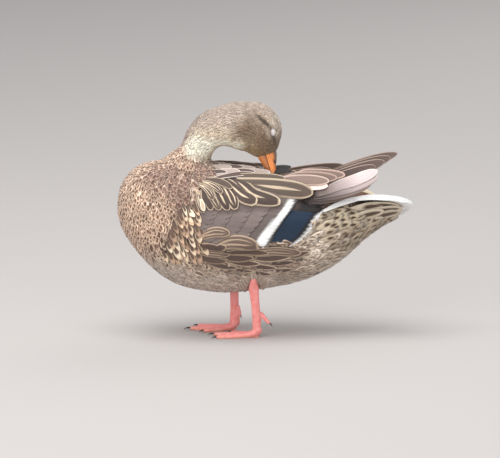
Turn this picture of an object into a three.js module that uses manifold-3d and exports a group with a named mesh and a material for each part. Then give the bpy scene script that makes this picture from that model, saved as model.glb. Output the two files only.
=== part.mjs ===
// A life-size mallard hen that stands on both feet and preens: the head is turned back over the left
// shoulder and the bill is pushed in between the feathers of the back.
// Millimetres, +Z up. The breast faces -Y, the tail +Y, and the bird's left side is +X. The floor is
// z = 0, and y = 0 is halfway between the front of the breast and the tip of the tail.

import * as THREE from 'three';
import { mergeVertices } from 'three/addons/utils/BufferGeometryUtils.js';
import Module from 'manifold-3d';

const wasm = await Module();
wasm.setup();

// ---------------------------------------------------------------- driving dimensions

const BREAST_Y = -178.5;      // front of the breast
const TAIL_Y = 178.5;         // tip of the tail
const GAP = 0.3;              // parting gap between neighbouring pieces
const BILL_CLEARANCE = 0.45;  // around the bill, in the face and between the feathers
const NECK_GAP_SHARE = 0.0016; // the parting gap as a share of the neck's centre line
const LEFT = 1;               // sign of x on the left side of the bird
const RIGHT = -1;
const SIDES = [['left', LEFT], ['right', RIGHT]];

// The trunk with its coat: [y, top of the back, underside, half-width] from breast to under-tail.
const TRUNK = [
  [BREAST_Y, 154, 152, 1],
  [-175.5, 177, 136, 21],
  [-169, 190, 121, 32],
  [-155, 205, 101, 45],
  [-132, 212, 76, 56],
  [-104, 211, 59, 62],
  [-72, 206, 52, 65],
  [-40, 201, 50, 66],
  [6, 195, 56, 64],
  [50, 187, 66, 56],
  [87, 177, 85, 44],
  [110, 165, 106, 34],
  [131, 153, 124, 23],
  [147, 146, 135, 13],
  [155, 142, 139, 1.5],
];
const TRUNK_FULLNESS = 2.15;  // power of the section's outline: 2 is an ellipse, more is squarer
const TRUNK_WIDEST = 0.45;    // height of the widest level, as a share of the section

// The neck: centre line, half-width across the body and half-depth in the plane of its bend.
const NECK = [
  { at: [0, -100, 168], across: 46, deep: 50 },
  { at: [1, -94, 197], across: 36, deep: 37 },
  { at: [3, -85, 218], across: 26.5, deep: 22 },
  { at: [6, -77, 236], across: 23, deep: 21.5 },
  { at: [8, -65, 249.5], across: 21.5, deep: 23.5 },
  { at: [7, -48, 254], across: 21, deep: 26 },
  { at: [5, -31, 254], across: 21, deep: 30.5 },
  { at: [4, -15, 250], across: 19.5, deep: 30 },
];
// Where the neck is parted, as shares of its centre line.
const NECK_PARTINGS = { trunk: 0.29, middle: 0.47, upper: 0.66 };

// The head: its own frame has "forward" towards the bill and "up" towards the crown. The reference
// point lies in its middle plane beside the eyes.
const HEAD_AT = [4, 9.3, 244.8];
const HEAD_PITCH = 67.7;      // degrees that "forward" points below the horizontal
// [forward, crown, throat, half-width]
const HEAD = [
  [22, -4, -28.5, 9.8],
  [18, 0, -33, 12.5],
  [10, 6.3, -38.5, 17],
  [1, 12.2, -42.5, 20.4],
  [-9, 14.2, -40.5, 21.8],
  [-19, 13, -35.5, 21.6],
  [-29, 9.6, -29.5, 19.6],
  [-37, 4.2, -23.5, 15],
  [-42.5, -3.5, -16.5, 8],
  [-44.5, -9, -11, 1.5],
];
const HEAD_WIDEST = 0.42;     // how far below the crown the cheeks are widest, as a share of the depth

const EYE = { forward: -2.6, up: 1.1, side: 15, radius: 4.6 };

// The bill, from its base in the head's middle plane: [along, culmen, cutting edge, chin, half-width]
const BILL_BASE = { forward: 22, up: -15.5 };
const BILL_PITCH = 72;         // degrees that it points below the horizontal
const BILL_YAW = 9;           // degrees that the tip points away from the head's middle plane
const BILL = [
  [0.3, 11, -2.5, -13, 9.6],
  [7, 8.8, -2.6, -11.2, 9.7],
  [15, 5.9, -2.8, -8.8, 9.6],
  [24, 3.4, -3, -6.4, 9.9],
  [34, 2.2, -3, -5.8, 10.8],
  [42, 1.4, -3, -5.4, 10.9],
  [46.5, 0.4, -2.8, -5, 8.4],
  [49, -0.8, -2.4, -4, 3.5],
];
const BILL_FULLNESS = 2.3;
const LOWER_BILL_SHARE = 0.9;  // width and length of the lower half against the upper
const BILL_FLAT = 0.01;        // how far the flat face of each half bulges past the cutting edge

// Panels of the folded wing lie on the trunk like plates. Their outlines are in [y, z], "thick" is
// how far they stand out from the trunk, and "inner" is where they begin beside the middle of the back.
const SHOULDER_LINE = [[-88, 160], [14, 167.5], [37, 172]];   // between the scapulars and the coverts
const BAR_END = [-6, 116];    // lower end of the white bar between the coverts and the secondaries
const PANELS = {
  scapulars: {
    outline: [...SHOULDER_LINE, [63, 178.5], [56, 190], [40, 225], [-84, 225], [-92, 185]],
    thick: 7,
    inner: 7,
  },
  coverts: {
    outline: [...SHOULDER_LINE, BAR_END, [-40, 110], [-72, 118], [-90, 136]],
    thick: 5,
    inner: 20,
  },
  secondaries: {
    outline: [BAR_END, SHOULDER_LINE[2], [66.5, 162], [64, 150], [48, 128], [36, 116]],
    thick: 3.6,
    inner: 20,
  },
};
const PANEL_REACH = 100;      // further out than any part of the trunk
const SHARPEST_CORNER = 0.3;  // limits how far a sharp corner moves when an outline is widened

// Free blades of the wings. "lean" is how steeply the blade stands, in degrees.
const TERTIALS = {
  left: { path: [[50, -4, 180], [47, 38, 186], [41, 76, 188.5]], lean: 52 },
  right: { path: [[50, -4, 181], [46, 46, 190], [40, 94, 197]], lean: 52 },
  half: 10.5,
  thick: 2,
};
const PRIMARIES = {
  left: { path: [[51, 38, 168], [44, 76, 179], [38, 108, 190], [33, 136, 202.5]], lean: 66 },
  right: { path: [[51, 44, 170], [46, 90, 187], [42, 128, 202], [38, 160, 214]], lean: 66 },
  half: 13,
  thick: 2.2,
};

// How a blade changes on its way: its width grows quickly from the root, stays, and ends rounded.
const BLADE = { root: 0.35, growth: 3.2, tip: 0.06, tipPower: 3.2, thinning: 0.6 };

// The tail fan, twisted so that its left edge is raised: [y, x and z of its middle, half-width, roll
// in degrees, how far its sides bend down, how much further back the left edge lies against the width].
const TAIL = [
  [86, 0, 172, 24, 4, 5, 0.3],
  [112, -2, 168.5, 30, 12, 4, 0.38],
  [136, -6, 160, 33, 22, 4, 0.38],
  [158, -9, 152, 32, 27, 3.5, 0.38],
  [170.5, -8, 151.7, 25, 28, 2, 0.22],
  [TAIL_Y - 1.5, -2, 155.5, 14, 27, 1, 0.1],
];
const TAIL_THICK = 2.4;
const TAIL_THICKNESS = { root: 1.7, tip: 0.8 };   // against TAIL_THICK

// Legs: where each joint is, [x, y, z] on the left, and the direction in which the toes point.
const LEGS = {
  left: { knee: [36, -14, 96], heel: [37, -14, 65], foot: [26, -9, 11], toeOut: -14, hindTilt: 0.95 },
  right: { knee: [36, -38, 96], heel: [37, -37.5, 65], foot: [26, -36.5, 11], toeOut: 2, hindTilt: 0.3 },
};
// Half-sizes of the feathered thigh, and how far its middle and its lower end lie above the heel.
const THIGH = { knee: 15, across: 11.5, deep: 12.5, heel: 7, middleRise: 15, endRise: 4, inward: 1 };
const LEG_RECESS = { radius: 8, above: 12, below: 14, outward: 5 };
const TARSUS = { across: 4, deep: 5.3 };
// [share of the way from the heel to the foot, size]: the leg is thickest at its two joints.
const TARSUS_SIZES = [[-0.06, 0.976], [0.04, 1.22], [0.22, 1], [0.6, 0.92], [0.86, 1.02], [1, 1.22]];
const TOES = {
  inner: { turn: -25, length: 41, claw: 6.5 },
  middle: { turn: 0, length: 54, claw: 8 },
  outer: { turn: 24, length: 50, claw: 7 },
};
const TOE_THICK = 2.9;        // half-thickness behind the first joint
// [share of the toe's length, height of its middle, size against TOE_THICK]
const TOE_JOINTS = [
  [0, 7.2, 1.5], [0.14, 4.6, 1.25], [0.3, 3, 1], [0.5, 2.6, 1.02],
  [0.75, 2.2, 0.86], [0.93, 2, 0.78], [1, 1.9, 0.45],
];
const TOE_TIP_HEIGHT = 1.8;
// The web reaches this share of each toe, and its front edge is pulled back by the hollow's share.
const WEB = { thick: 1.5, reach: 0.93, hollow: 0.2 };
const HIND_TOE = { height: 19, start: 3, drop: 12, root: 2.6, tip: 1.6, claw: 4.5, clawDrop: 0.8 };
// [share of the claw's length, lift against its length, size against its root]
const CLAW_BENDS = [[-0.35, 0, 0.9], [0.2, 0.12, 0.85], [0.65, 0.04, 0.5], [1, -0.18, 0.16]];
const CLAW_ROOT = { toe: 1.5, hind: 1.2 };
const CLAW_CLEARANCE = 0.05;  // so that the weight stands on the toes and the web
const FLOOR_BLOCK = { width: 400, length: 500, depth: 100 };

// How finely each kind of piece is faceted: rows along it and sides around it.
const FACETS = {
  trunk: { rows: 23, sides: 20 },
  neck: { rows: 17, sides: 16 },   // rows over the whole centre line
  head: { rows: 14, sides: 16 },
  eye: { rows: 6, sides: 12 },
  bill: { rows: 9, sides: 12 },
  blade: { rows: 9, sides: 8 },
  tail: { rows: 8, sides: 16 },
  thigh: { rows: 4, sides: 10 },
  recess: { rows: 2, sides: 12 },
  tarsus: { rows: 8, sides: 10 },
  toe: { rows: 6, sides: 8 },
  hindToe: { rows: 4, sides: 8 },
  claw: { rows: 3, sides: 5 },
  web: { curve: 3 },
};

// ---------------------------------------------------------------- materials

function matt(color, roughness = 0.8) {
  return new THREE.MeshStandardMaterial({ color, roughness, metalness: 0 });
}

const PAINT = {
  breast: matt(0x9b7a55),
  neck: matt(0xa38b68),
  head: matt(0x8d7758),
  wing: matt(0x82705c),
  scapular: matt(0x5c4a3b),
  speculum: matt(0x1d3350, 0.4),
  primary: matt(0x9a8474),
  tail: matt(0xd9cdb8),
  bill: matt(0xc9752f, 0.5),
  eye: matt(0x2a1d14, 0.2),
  leg: matt(0xd96a52, 0.55),
  claw: matt(0x3a2a22, 0.4),
};

// ---------------------------------------------------------------- geometry helpers

const X_AXIS = new THREE.Vector3(1, 0, 0);
const Z_AXIS = new THREE.Vector3(0, 0, 1);
const radians = THREE.MathUtils.degToRad;

// A closed solid of the joining and cutting library, from a three.js geometry.
function solid(geometry) {
  const bare = geometry.clone();
  bare.deleteAttribute('normal');
  bare.deleteAttribute('uv');
  const merged = mergeVertices(bare, 1e-4);
  return new wasm.Manifold(new wasm.Mesh({
    numProp: 3,
    vertProperties: new Float32Array(merged.attributes.position.array),
    triVerts: new Uint32Array(merged.index.array),
  }));
}

function geometryOf(piece) {
  const mesh = piece.getMesh();
  const geometry = new THREE.BufferGeometry();
  geometry.setAttribute('position', new THREE.BufferAttribute(new Float32Array(mesh.vertProperties), 3));
  geometry.setIndex(new THREE.BufferAttribute(new Uint32Array(mesh.triVerts), 1));
  return geometry;
}

// The part of a cut piece that holds the most volume.
function largest(piece) {
  const pieces = piece.decompose();
  return pieces.reduce((best, next) => (next.volume() > best.volume() ? next : best));
}

function cut(piece, ...tools) {
  return largest(tools.reduce((rest, tool) => rest.subtract(tool), piece));
}

// A smooth value between the rows of a table, at a share of its length.
function between(rows, share) {
  const place = Math.min(Math.max(share, 0), 1) * (rows.length - 1);
  const i = Math.min(Math.floor(place), rows.length - 2);
  const t = place - i;
  const before = rows[Math.max(i - 1, 0)];
  const after = rows[Math.min(i + 2, rows.length - 1)];
  return rows[i].map((value, k) => {
    const next = rows[i + 1][k];
    const a = (next - before[k]) / 2;
    const b = (after[k] - value) / 2;
    return value + t * (a + t * (3 * (next - value) - 2 * a - b + t * (a + b - 2 * (next - value))));
  });
}

// One closed section: half-sizes may differ above and below its centre.
function section(centre, across, up, { half, above, below, sides, power = 2 }) {
  const points = [];
  for (let i = 0; i < sides; i += 1) {
    const turn = (i / sides) * 2 * Math.PI;
    const c = Math.cos(turn);
    const s = Math.sin(turn);
    const sideways = Math.sign(c) * Math.abs(c) ** (2 / power) * half;
    const lift = Math.sign(s) * Math.abs(s) ** (2 / power) * (s > 0 ? above : below);
    points.push(centre.clone().addScaledVector(across, sideways).addScaledVector(up, lift));
  }
  return points;
}

// A closed skin over a row of sections, with a fan over each end.
function loft(sections) {
  const sides = sections[0].length;
  const positions = sections.flat().flatMap((point) => point.toArray());
  const index = [];
  for (let row = 0; row + 1 < sections.length; row += 1) {
    for (let i = 0; i < sides; i += 1) {
      const a = row * sides + i;
      const b = row * sides + ((i + 1) % sides);
      index.push(a, b, b + sides, a, b + sides, a + sides);
    }
  }
  for (const end of [0, sections.length - 1]) {
    const middle = new THREE.Vector3();
    sections[end].forEach((point) => middle.addScaledVector(point, 1 / sides));
    const pole = positions.length / 3;
    positions.push(...middle.toArray());
    for (let i = 0; i < sides; i += 1) {
      const a = end * sides + i;
      const b = end * sides + ((i + 1) % sides);
      index.push(...(end === 0 ? [b, a, pole] : [a, b, pole]));
    }
  }
  const geometry = new THREE.BufferGeometry();
  geometry.setAttribute('position', new THREE.Float32BufferAttribute(positions, 3));
  geometry.setIndex(index);
  const made = solid(geometry);
  if (made.volume() > 0) return made;
  for (let i = 0; i < index.length; i += 3) [index[i], index[i + 1]] = [index[i + 1], index[i]];
  geometry.setIndex(index);
  return solid(geometry);
}

// How far the first and the last section move outwards when a whole solid is grown.
function endShift(i, rows, grow) {
  if (i === 0) return -grow;
  return i === rows ? grow : 0;
}

// A tube along a centre line whose half-sizes change on the way.
function tube(stations, { rows, sides }, { from = 0, to = 1, grow = 0 } = {}) {
  const points = stations.map((station) => new THREE.Vector3(...station.at));
  const line = new THREE.CatmullRomCurve3(points, false, 'catmullrom');
  const sizes = stations.map((station) => [station.across, station.deep]);
  const sections = [];
  for (let i = 0; i <= rows; i += 1) {
    const share = from + ((to - from) * i) / rows;
    const tangent = line.getTangent(share);
    const centre = line.getPoint(share).addScaledVector(tangent, endShift(i, rows, grow));
    const side = X_AXIS.clone().addScaledVector(tangent, -X_AXIS.dot(tangent)).normalize();
    const up = new THREE.Vector3().crossVectors(tangent, side).normalize();
    const [half, deep] = between(sizes, share).map((size) => size + grow);
    sections.push(section(centre, side, up, { half, above: deep, below: deep, sides }));
  }
  return loft(sections);
}

// A plate through an outline in [y, z], reaching from x = near to x = far.
function prism(outline, near, far) {
  const shape = new THREE.Shape(outline.map(([y, z]) => new THREE.Vector2(y, z)));
  const geometry = new THREE.ExtrudeGeometry(shape, { depth: Math.abs(far - near), bevelEnabled: false });
  const basis = new THREE.Matrix4().makeBasis(
    new THREE.Vector3(0, 1, 0), new THREE.Vector3(0, 0, 1), new THREE.Vector3(1, 0, 0));
  geometry.applyMatrix4(basis);
  geometry.translate(Math.min(near, far), 0, 0);
  return solid(geometry);
}

// The same outline with every side moved outwards.
function widened(outline, by) {
  const points = outline.map(([y, z]) => new THREE.Vector2(y, z));
  const turn = Math.sign(THREE.ShapeUtils.area(points));
  return points.map((point, i) => {
    const [before, after] = [
      points[(i + points.length - 1) % points.length], points[(i + 1) % points.length],
    ];
    const [inward, outward] = [
      point.clone().sub(before).normalize(), after.clone().sub(point).normalize(),
    ].map((way) => new THREE.Vector2(way.y, -way.x).multiplyScalar(turn));
    const middle = inward.clone().add(outward).normalize();
    const moved = point.clone().addScaledVector(middle, by / Math.max(middle.dot(inward), SHARPEST_CORNER));
    return [moved.x, moved.y];
  });
}

// ---------------------------------------------------------------- trunk and neck

function trunkSolid(grow = 0) {
  const { rows, sides } = FACETS.trunk;
  const sections = [];
  for (let i = 0; i <= rows; i += 1) {
    const [y, top, under, half] = between(TRUNK, i / rows);
    const widest = under + (top - under) * TRUNK_WIDEST;
    const centre = new THREE.Vector3(0, y + endShift(i, rows, grow), widest);
    sections.push(section(centre, X_AXIS, Z_AXIS, {
      half: half + grow,
      above: top - widest + grow,
      below: widest - under + grow,
      power: TRUNK_FULLNESS,
      sides,
    }));
  }
  return loft(sections);
}

function neckSolid(from, to, grow = 0) {
  const { rows, sides } = FACETS.neck;
  return tube(NECK, { rows: Math.ceil((to - from) * rows), sides }, { from, to, grow });
}

// ---------------------------------------------------------------- head, eyes and bill

function headFrame(pitch = HEAD_PITCH) {
  const angle = radians(pitch);
  return {
    forward: new THREE.Vector3(0, Math.cos(angle), -Math.sin(angle)),
    up: new THREE.Vector3(0, Math.sin(angle), Math.cos(angle)),
  };
}

function inHead(forwardBy, upBy, sideBy = 0) {
  const { forward, up } = headFrame();
  return new THREE.Vector3(...HEAD_AT).addScaledVector(forward, forwardBy).addScaledVector(up, upBy)
    .addScaledVector(X_AXIS, sideBy);
}

function headSolid(grow = 0) {
  const { up } = headFrame();
  const { rows, sides } = FACETS.head;
  const sections = [];
  for (let i = 0; i <= rows; i += 1) {
    const [along, crown, throat, half] = between(HEAD, i / rows);
    const widest = crown - (crown - throat) * HEAD_WIDEST;
    const centre = inHead(along - endShift(i, rows, grow), widest);
    sections.push(section(centre, X_AXIS, up, {
      half: half + grow, above: crown - widest + grow, below: widest - throat + grow, sides,
    }));
  }
  return loft(sections);
}

function eyeSolid(side, grow = 0) {
  const { rows, sides } = FACETS.eye;
  const ball = new THREE.SphereGeometry(EYE.radius + grow, sides, rows);
  const centre = inHead(EYE.forward, EYE.up, side * EYE.side);
  ball.translate(centre.x, centre.y, centre.z);
  return solid(ball);
}

// Half a bill: the upper one lies between the culmen and the cutting edge, the lower one below it.
function billSolid(isUpper, grow = 0) {
  const { forward, up } = headFrame(BILL_PITCH);
  const yaw = radians(BILL_YAW);
  const along = forward.clone().multiplyScalar(Math.cos(yaw)).addScaledVector(X_AXIS, Math.sin(yaw));
  const across = X_AXIS.clone().multiplyScalar(Math.cos(yaw)).addScaledVector(forward, -Math.sin(yaw));
  const base = inHead(BILL_BASE.forward, BILL_BASE.up);
  const share = isUpper ? 1 : LOWER_BILL_SHARE;
  const { rows, sides } = FACETS.bill;
  const sections = [];
  for (let i = 0; i <= rows; i += 1) {
    const [distance, culmen, edge, chin, half] = between(BILL, i / rows);
    const level = isUpper ? edge + GAP / 2 : edge - GAP / 2;
    const centre = base.clone().addScaledVector(up, level)
      .addScaledVector(along, distance * share + endShift(i, rows, grow));
    sections.push(section(centre, across, up, {
      half: half * share + grow,
      above: (isUpper ? culmen - level : BILL_FLAT) + grow,
      below: (isUpper ? BILL_FLAT : level - chin) + grow,
      power: BILL_FULLNESS,
      sides,
    }));
  }
  return loft(sections);
}

// ---------------------------------------------------------------- wings and tail

function panelSolid({ outline, thick, inner }, side, grow = 0) {
  const plate = prism(widened(outline, grow), side * (inner - grow), side * PANEL_REACH);
  return plate.intersect(trunkSolid(thick + grow));
}

// A long flat blade of stacked feathers that narrows to a rounded tip.
function blade({ path, lean }, { half, thick }, side, grow = 0) {
  const angle = radians(lean);
  const across = new THREE.Vector3(-side * Math.cos(angle), 0, Math.sin(angle));
  const line = new THREE.CatmullRomCurve3(path.map(([x, y, z]) => new THREE.Vector3(x * side, y, z)));
  const { rows, sides } = FACETS.blade;
  const sections = [];
  for (let i = 0; i <= rows; i += 1) {
    const share = i / rows;
    const tangent = line.getTangent(share);
    const width = across.clone().addScaledVector(tangent, -across.dot(tangent)).normalize();
    const up = new THREE.Vector3().crossVectors(tangent, width).normalize();
    const rounded = Math.sqrt(1 - share ** BLADE.tipPower) * Math.min(1, BLADE.root + share * BLADE.growth);
    const narrow = THREE.MathUtils.lerp(BLADE.tip, 1, rounded);
    const centre = line.getPoint(share);
    if (i === rows) centre.addScaledVector(tangent, grow);
    const wide = half * narrow + grow;
    const deep = thick * (1 - BLADE.thinning * share) + grow;
    sections.push(section(centre, width, up, { half: wide, above: deep, below: deep, sides }));
  }
  return loft(sections);
}

function tailSolid() {
  const { rows, sides } = FACETS.tail;
  const sections = [];
  for (let i = 0; i <= rows; i += 1) {
    const [y, x, z, half, roll, drop, skew] = between(TAIL, i / rows);
    const angle = radians(roll);
    const thick = TAIL_THICK * THREE.MathUtils.lerp(TAIL_THICKNESS.root, TAIL_THICKNESS.tip, i / rows);
    const ring = [];
    for (let k = 0; k < sides; k += 1) {
      const turn = (k / sides) * 2 * Math.PI;
      const across = Math.cos(turn) * half;
      const lift = (Math.sin(turn) * thick) / 2 - drop * (across / half) ** 2;
      ring.push(new THREE.Vector3(
        x + across * Math.cos(angle) - lift * Math.sin(angle),
        y + across * skew,
        z + across * Math.sin(angle) + lift * Math.cos(angle),
      ));
    }
    sections.push(ring);
  }
  return loft(sections);
}

// ---------------------------------------------------------------- legs and feet

function sided([x, y, z], side) {
  return [x * side, y, z];
}

function thighSolid(leg, side, grow = 0) {
  const [x, y, z] = leg.heel;
  const middle = [x - THIGH.inward, y, z + THIGH.middleRise];
  return tube([
    { at: sided(leg.knee, side), across: THIGH.knee, deep: THIGH.knee },
    { at: sided(middle, side), across: THIGH.across, deep: THIGH.deep },
    { at: sided([x, y, z + THIGH.endRise], side), across: THIGH.heel, deep: THIGH.heel },
  ], FACETS.thigh, { grow });
}

// The hollow in the side of the belly from which the leg comes out.
function legRecess(leg, side) {
  const [x, y, z] = leg.heel;
  const { radius, above, below, outward } = LEG_RECESS;
  return tube([z + above, z - below].map((level) => (
    { at: sided([x + outward, y, level], side), across: radius, deep: radius }
  )), FACETS.recess);
}

function tarsusSolid(leg, side, grow = 0) {
  const heel = new THREE.Vector3(...sided(leg.heel, side));
  const foot = new THREE.Vector3(...sided(leg.foot, side));
  const stations = TARSUS_SIZES.map(([share, size]) => ({
    at: heel.clone().lerp(foot, share).toArray(), across: TARSUS.across * size, deep: TARSUS.deep * size,
  }));
  return tube(stations, FACETS.tarsus, { grow });
}

function toeDirection(leg, side, turn) {
  const angle = radians(leg.toeOut + turn);
  return new THREE.Vector3(side * Math.sin(angle), -Math.cos(angle), 0);
}

function toeTip(leg, side, toe) {
  const foot = new THREE.Vector3(...sided(leg.foot, side));
  foot.z = TOE_TIP_HEIGHT;
  return foot.addScaledVector(toeDirection(leg, side, toe.turn), toe.length);
}

function toeSolid(leg, side, toe, grow = 0) {
  const root = new THREE.Vector3(...sided(leg.foot, side));
  const way = toeDirection(leg, side, toe.turn);
  const stations = TOE_JOINTS.map(([share, height, size]) => {
    const at = root.clone().addScaledVector(way, toe.length * share);
    at.z = height;
    return { at: at.toArray(), across: TOE_THICK * size, deep: TOE_THICK * size };
  });
  return tube(stations, FACETS.toe, { grow });
}

// The web spans the three front toes, with a hollow front edge between each two of them.
function webSolid(leg, side) {
  const root = toeTip(leg, side, { turn: 180, length: 1 });
  const tips = [TOES.inner, TOES.middle, TOES.outer].map(
    (toe) => toeTip(leg, side, { turn: toe.turn, length: toe.length * WEB.reach }));
  const shape = new THREE.Shape();
  shape.moveTo(root.x, root.y);
  shape.lineTo(tips[0].x, tips[0].y);
  for (const [from, to] of [[tips[0], tips[1]], [tips[1], tips[2]]]) {
    const hollow = from.clone().add(to).multiplyScalar(0.5).lerp(root, WEB.hollow);
    shape.quadraticCurveTo(hollow.x, hollow.y, to.x, to.y);
  }
  shape.lineTo(root.x, root.y);
  return solid(new THREE.ExtrudeGeometry(shape, {
    depth: WEB.thick, bevelEnabled: false, curveSegments: FACETS.web.curve,
  }));
}

function footSolid(leg, side) {
  const { width, length, depth } = FLOOR_BLOCK;
  const floor = new THREE.BoxGeometry(width, length, depth).translate(0, 0, -depth / 2);
  const toes = Object.values(TOES).map((toe) => toeSolid(leg, side, toe));
  const joined = toes.reduce((whole, toe) => whole.add(toe), webSolid(leg, side));
  return cut(joined, solid(floor), tarsusSolid(leg, side, GAP));
}

// A claw curves down from the end of a toe and stops just above the floor.
function clawSolid(tip, way, length, root) {
  const stations = CLAW_BENDS.map(([share, lift, size]) => {
    const thick = root * size;
    const at = tip.clone().addScaledVector(way, length * share);
    at.z = Math.max(at.z + length * lift, CLAW_CLEARANCE + thick);
    return { at: at.toArray(), across: thick, deep: thick };
  });
  return tube(stations, FACETS.claw);
}

// The hind toe leaves the back of the leg above the foot and hangs clear of the floor.
function hindToePath(leg, side) {
  const start = new THREE.Vector3(...sided(leg.foot, side));
  const back = toeDirection(leg, side, 180);
  return [0, 1 / 3, 2 / 3, 1].map((share) => {
    const at = start.clone().addScaledVector(back, HIND_TOE.start + HIND_TOE.drop * leg.hindTilt * share);
    at.z = leg.foot[2] + HIND_TOE.height - HIND_TOE.drop * share;
    const size = THREE.MathUtils.lerp(HIND_TOE.root, HIND_TOE.tip, share);
    return { at: at.toArray(), across: size, deep: size };
  });
}

// ---------------------------------------------------------------- the bird

const duck = new THREE.Group();
duck.name = 'mallard_hen';

function addPiece(name, piece, paint) {
  const mesh = new THREE.Mesh(geometryOf(piece), paint);
  mesh.name = name;
  duck.add(mesh);
}

const billSpace = billSolid(true, BILL_CLEARANCE).add(billSolid(false, BILL_CLEARANCE));
const eyeSpaces = [eyeSolid(LEFT, GAP), eyeSolid(RIGHT, GAP)];
const headSpace = headSolid(GAP);
const neckSpace = neckSolid(NECK_PARTINGS.trunk, 1, GAP);
const trunkSpace = trunkSolid(GAP).add(neckSolid(0, NECK_PARTINGS.trunk, GAP));

const legSpaces = SIDES.flatMap(([word, side]) => {
  const leg = LEGS[word];
  return [legRecess(leg, side), thighSolid(leg, side, GAP), tarsusSolid(leg, side, GAP)];
});

const trunk = trunkSolid().add(neckSolid(0, NECK_PARTINGS.trunk));
addPiece('trunk', cut(trunk, billSpace, ...legSpaces), PAINT.breast);

const neckLengths = [
  ['neck_lower', NECK_PARTINGS.trunk, NECK_PARTINGS.middle],
  ['neck_middle', NECK_PARTINGS.middle, NECK_PARTINGS.upper],
  ['neck_upper', NECK_PARTINGS.upper, 1],
];
for (const [name, from, to] of neckLengths) {
  const length = neckSolid(from + NECK_GAP_SHARE, to);
  addPiece(name, cut(length, headSpace, trunkSolid(GAP)), PAINT.neck);
}

addPiece('head', cut(headSolid(), ...eyeSpaces, billSpace), PAINT.head);
// The head is turned back, so its right eye looks to the left side of the body.
addPiece('eye_right', eyeSolid(LEFT), PAINT.eye);
addPiece('eye_left', eyeSolid(RIGHT), PAINT.eye);
addPiece('bill_upper', billSolid(true), PAINT.bill);
addPiece('bill_lower', cut(billSolid(false), billSolid(true, GAP)), PAINT.bill);

for (const [word, side] of SIDES) {
  const spaces = Object.values(PANELS).map((panel) => panelSolid(panel, side, GAP));
  const [scapularSpace, covertSpace] = spaces;
  const body = [trunkSpace, neckSpace, billSpace];
  const tertials = blade(TERTIALS[word], TERTIALS, side);
  const tertialSpace = blade(TERTIALS[word], TERTIALS, side, GAP);
  const primaries = blade(PRIMARIES[word], PRIMARIES, side);
  const [scapulars, coverts, secondaries] = Object.values(PANELS).map((panel) => panelSolid(panel, side));
  addPiece(`scapulars_${word}`, cut(scapulars, ...body), PAINT.scapular);
  addPiece(`wing_${word}_coverts`, cut(coverts, ...body, scapularSpace), PAINT.wing);
  addPiece(`wing_${word}_secondaries`,
    cut(secondaries, ...body, scapularSpace, covertSpace), PAINT.speculum);
  addPiece(`wing_${word}_tertials`, cut(tertials, ...body, ...spaces), PAINT.wing);
  addPiece(`wing_${word}_primaries`, cut(primaries, ...body, ...spaces, tertialSpace), PAINT.primary);
}

addPiece('tail', cut(tailSolid(), trunkSpace), PAINT.tail);

for (const [word, side] of SIDES) {
  const leg = LEGS[word];
  const tarsusSpace = tarsusSolid(leg, side, GAP);
  addPiece(`thigh_${word}`, cut(thighSolid(leg, side), tarsusSpace), PAINT.breast);
  addPiece(`tarsus_${word}`, tarsusSolid(leg, side), PAINT.leg);
  addPiece(`foot_${word}`, footSolid(leg, side), PAINT.leg);
  for (const [toeName, toe] of Object.entries(TOES)) {
    const way = toeDirection(leg, side, toe.turn);
    const claw = clawSolid(toeTip(leg, side, toe), way, toe.claw, CLAW_ROOT.toe);
    addPiece(`claw_${word}_${toeName}`, cut(claw, toeSolid(leg, side, toe, GAP)), PAINT.claw);
  }
  const path = hindToePath(leg, side);
  const tip = new THREE.Vector3(...path.at(-1).at);
  const way = toeDirection(leg, side, 180).multiplyScalar(leg.hindTilt)
    .addScaledVector(Z_AXIS, -HIND_TOE.clawDrop);
  const claw = clawSolid(tip, way, HIND_TOE.claw, CLAW_ROOT.hind);
  addPiece(`hind_toe_${word}`, cut(tube(path, FACETS.hindToe), tarsusSpace), PAINT.leg);
  addPiece(`claw_${word}_hind`, cut(claw, tube(path, FACETS.hindToe, { grow: GAP })), PAINT.claw);
}

export default duck;
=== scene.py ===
"""A life-size mallard hen that stands and preens, with its head turned back over its left shoulder.

One skin carries a coat of small feathers, and the long feathers of the wings and the tail are laid
over it one by one. Places in this file are millimetres in the frame of the CAD part: +Z is up, the
breast faces -Y, the tail +Y, and the left side of the bird is +X.
"""

import math

import bpy
import numpy as np
from bpy.props import FloatProperty, FloatVectorProperty, PointerProperty
from mathutils.bvhtree import BVHTree
from mathutils.kdtree import KDTree
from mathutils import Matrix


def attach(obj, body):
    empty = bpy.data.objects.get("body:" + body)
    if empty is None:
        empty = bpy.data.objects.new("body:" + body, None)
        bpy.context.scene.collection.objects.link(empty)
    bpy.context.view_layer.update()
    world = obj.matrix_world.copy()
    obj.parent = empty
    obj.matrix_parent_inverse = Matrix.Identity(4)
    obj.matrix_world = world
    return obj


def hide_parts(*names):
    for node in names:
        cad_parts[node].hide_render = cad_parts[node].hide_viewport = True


bl_info = {
    "name": "Mallard hen",
    "version": (1, 0, 0),
    "blender": (4, 5, 0),
    "location": "3D View > Sidebar > Hen",
    "description": "Builds the plumage, bill, eyes and legs of a preening mallard hen",
    "category": "Object",
}

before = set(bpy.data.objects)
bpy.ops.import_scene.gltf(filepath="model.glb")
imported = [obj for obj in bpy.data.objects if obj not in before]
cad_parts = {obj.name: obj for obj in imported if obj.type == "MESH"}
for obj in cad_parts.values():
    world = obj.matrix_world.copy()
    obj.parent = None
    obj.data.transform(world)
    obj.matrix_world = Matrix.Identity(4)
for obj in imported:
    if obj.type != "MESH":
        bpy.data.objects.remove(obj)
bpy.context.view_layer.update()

MM = 0.001
BODY = "root"
LEFT, RIGHT = 1, -1
SIDES = (("left", LEFT), ("right", RIGHT))
SEED = 7

# ---------------------------------------------------------------- numbers shared with the CAD part

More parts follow.
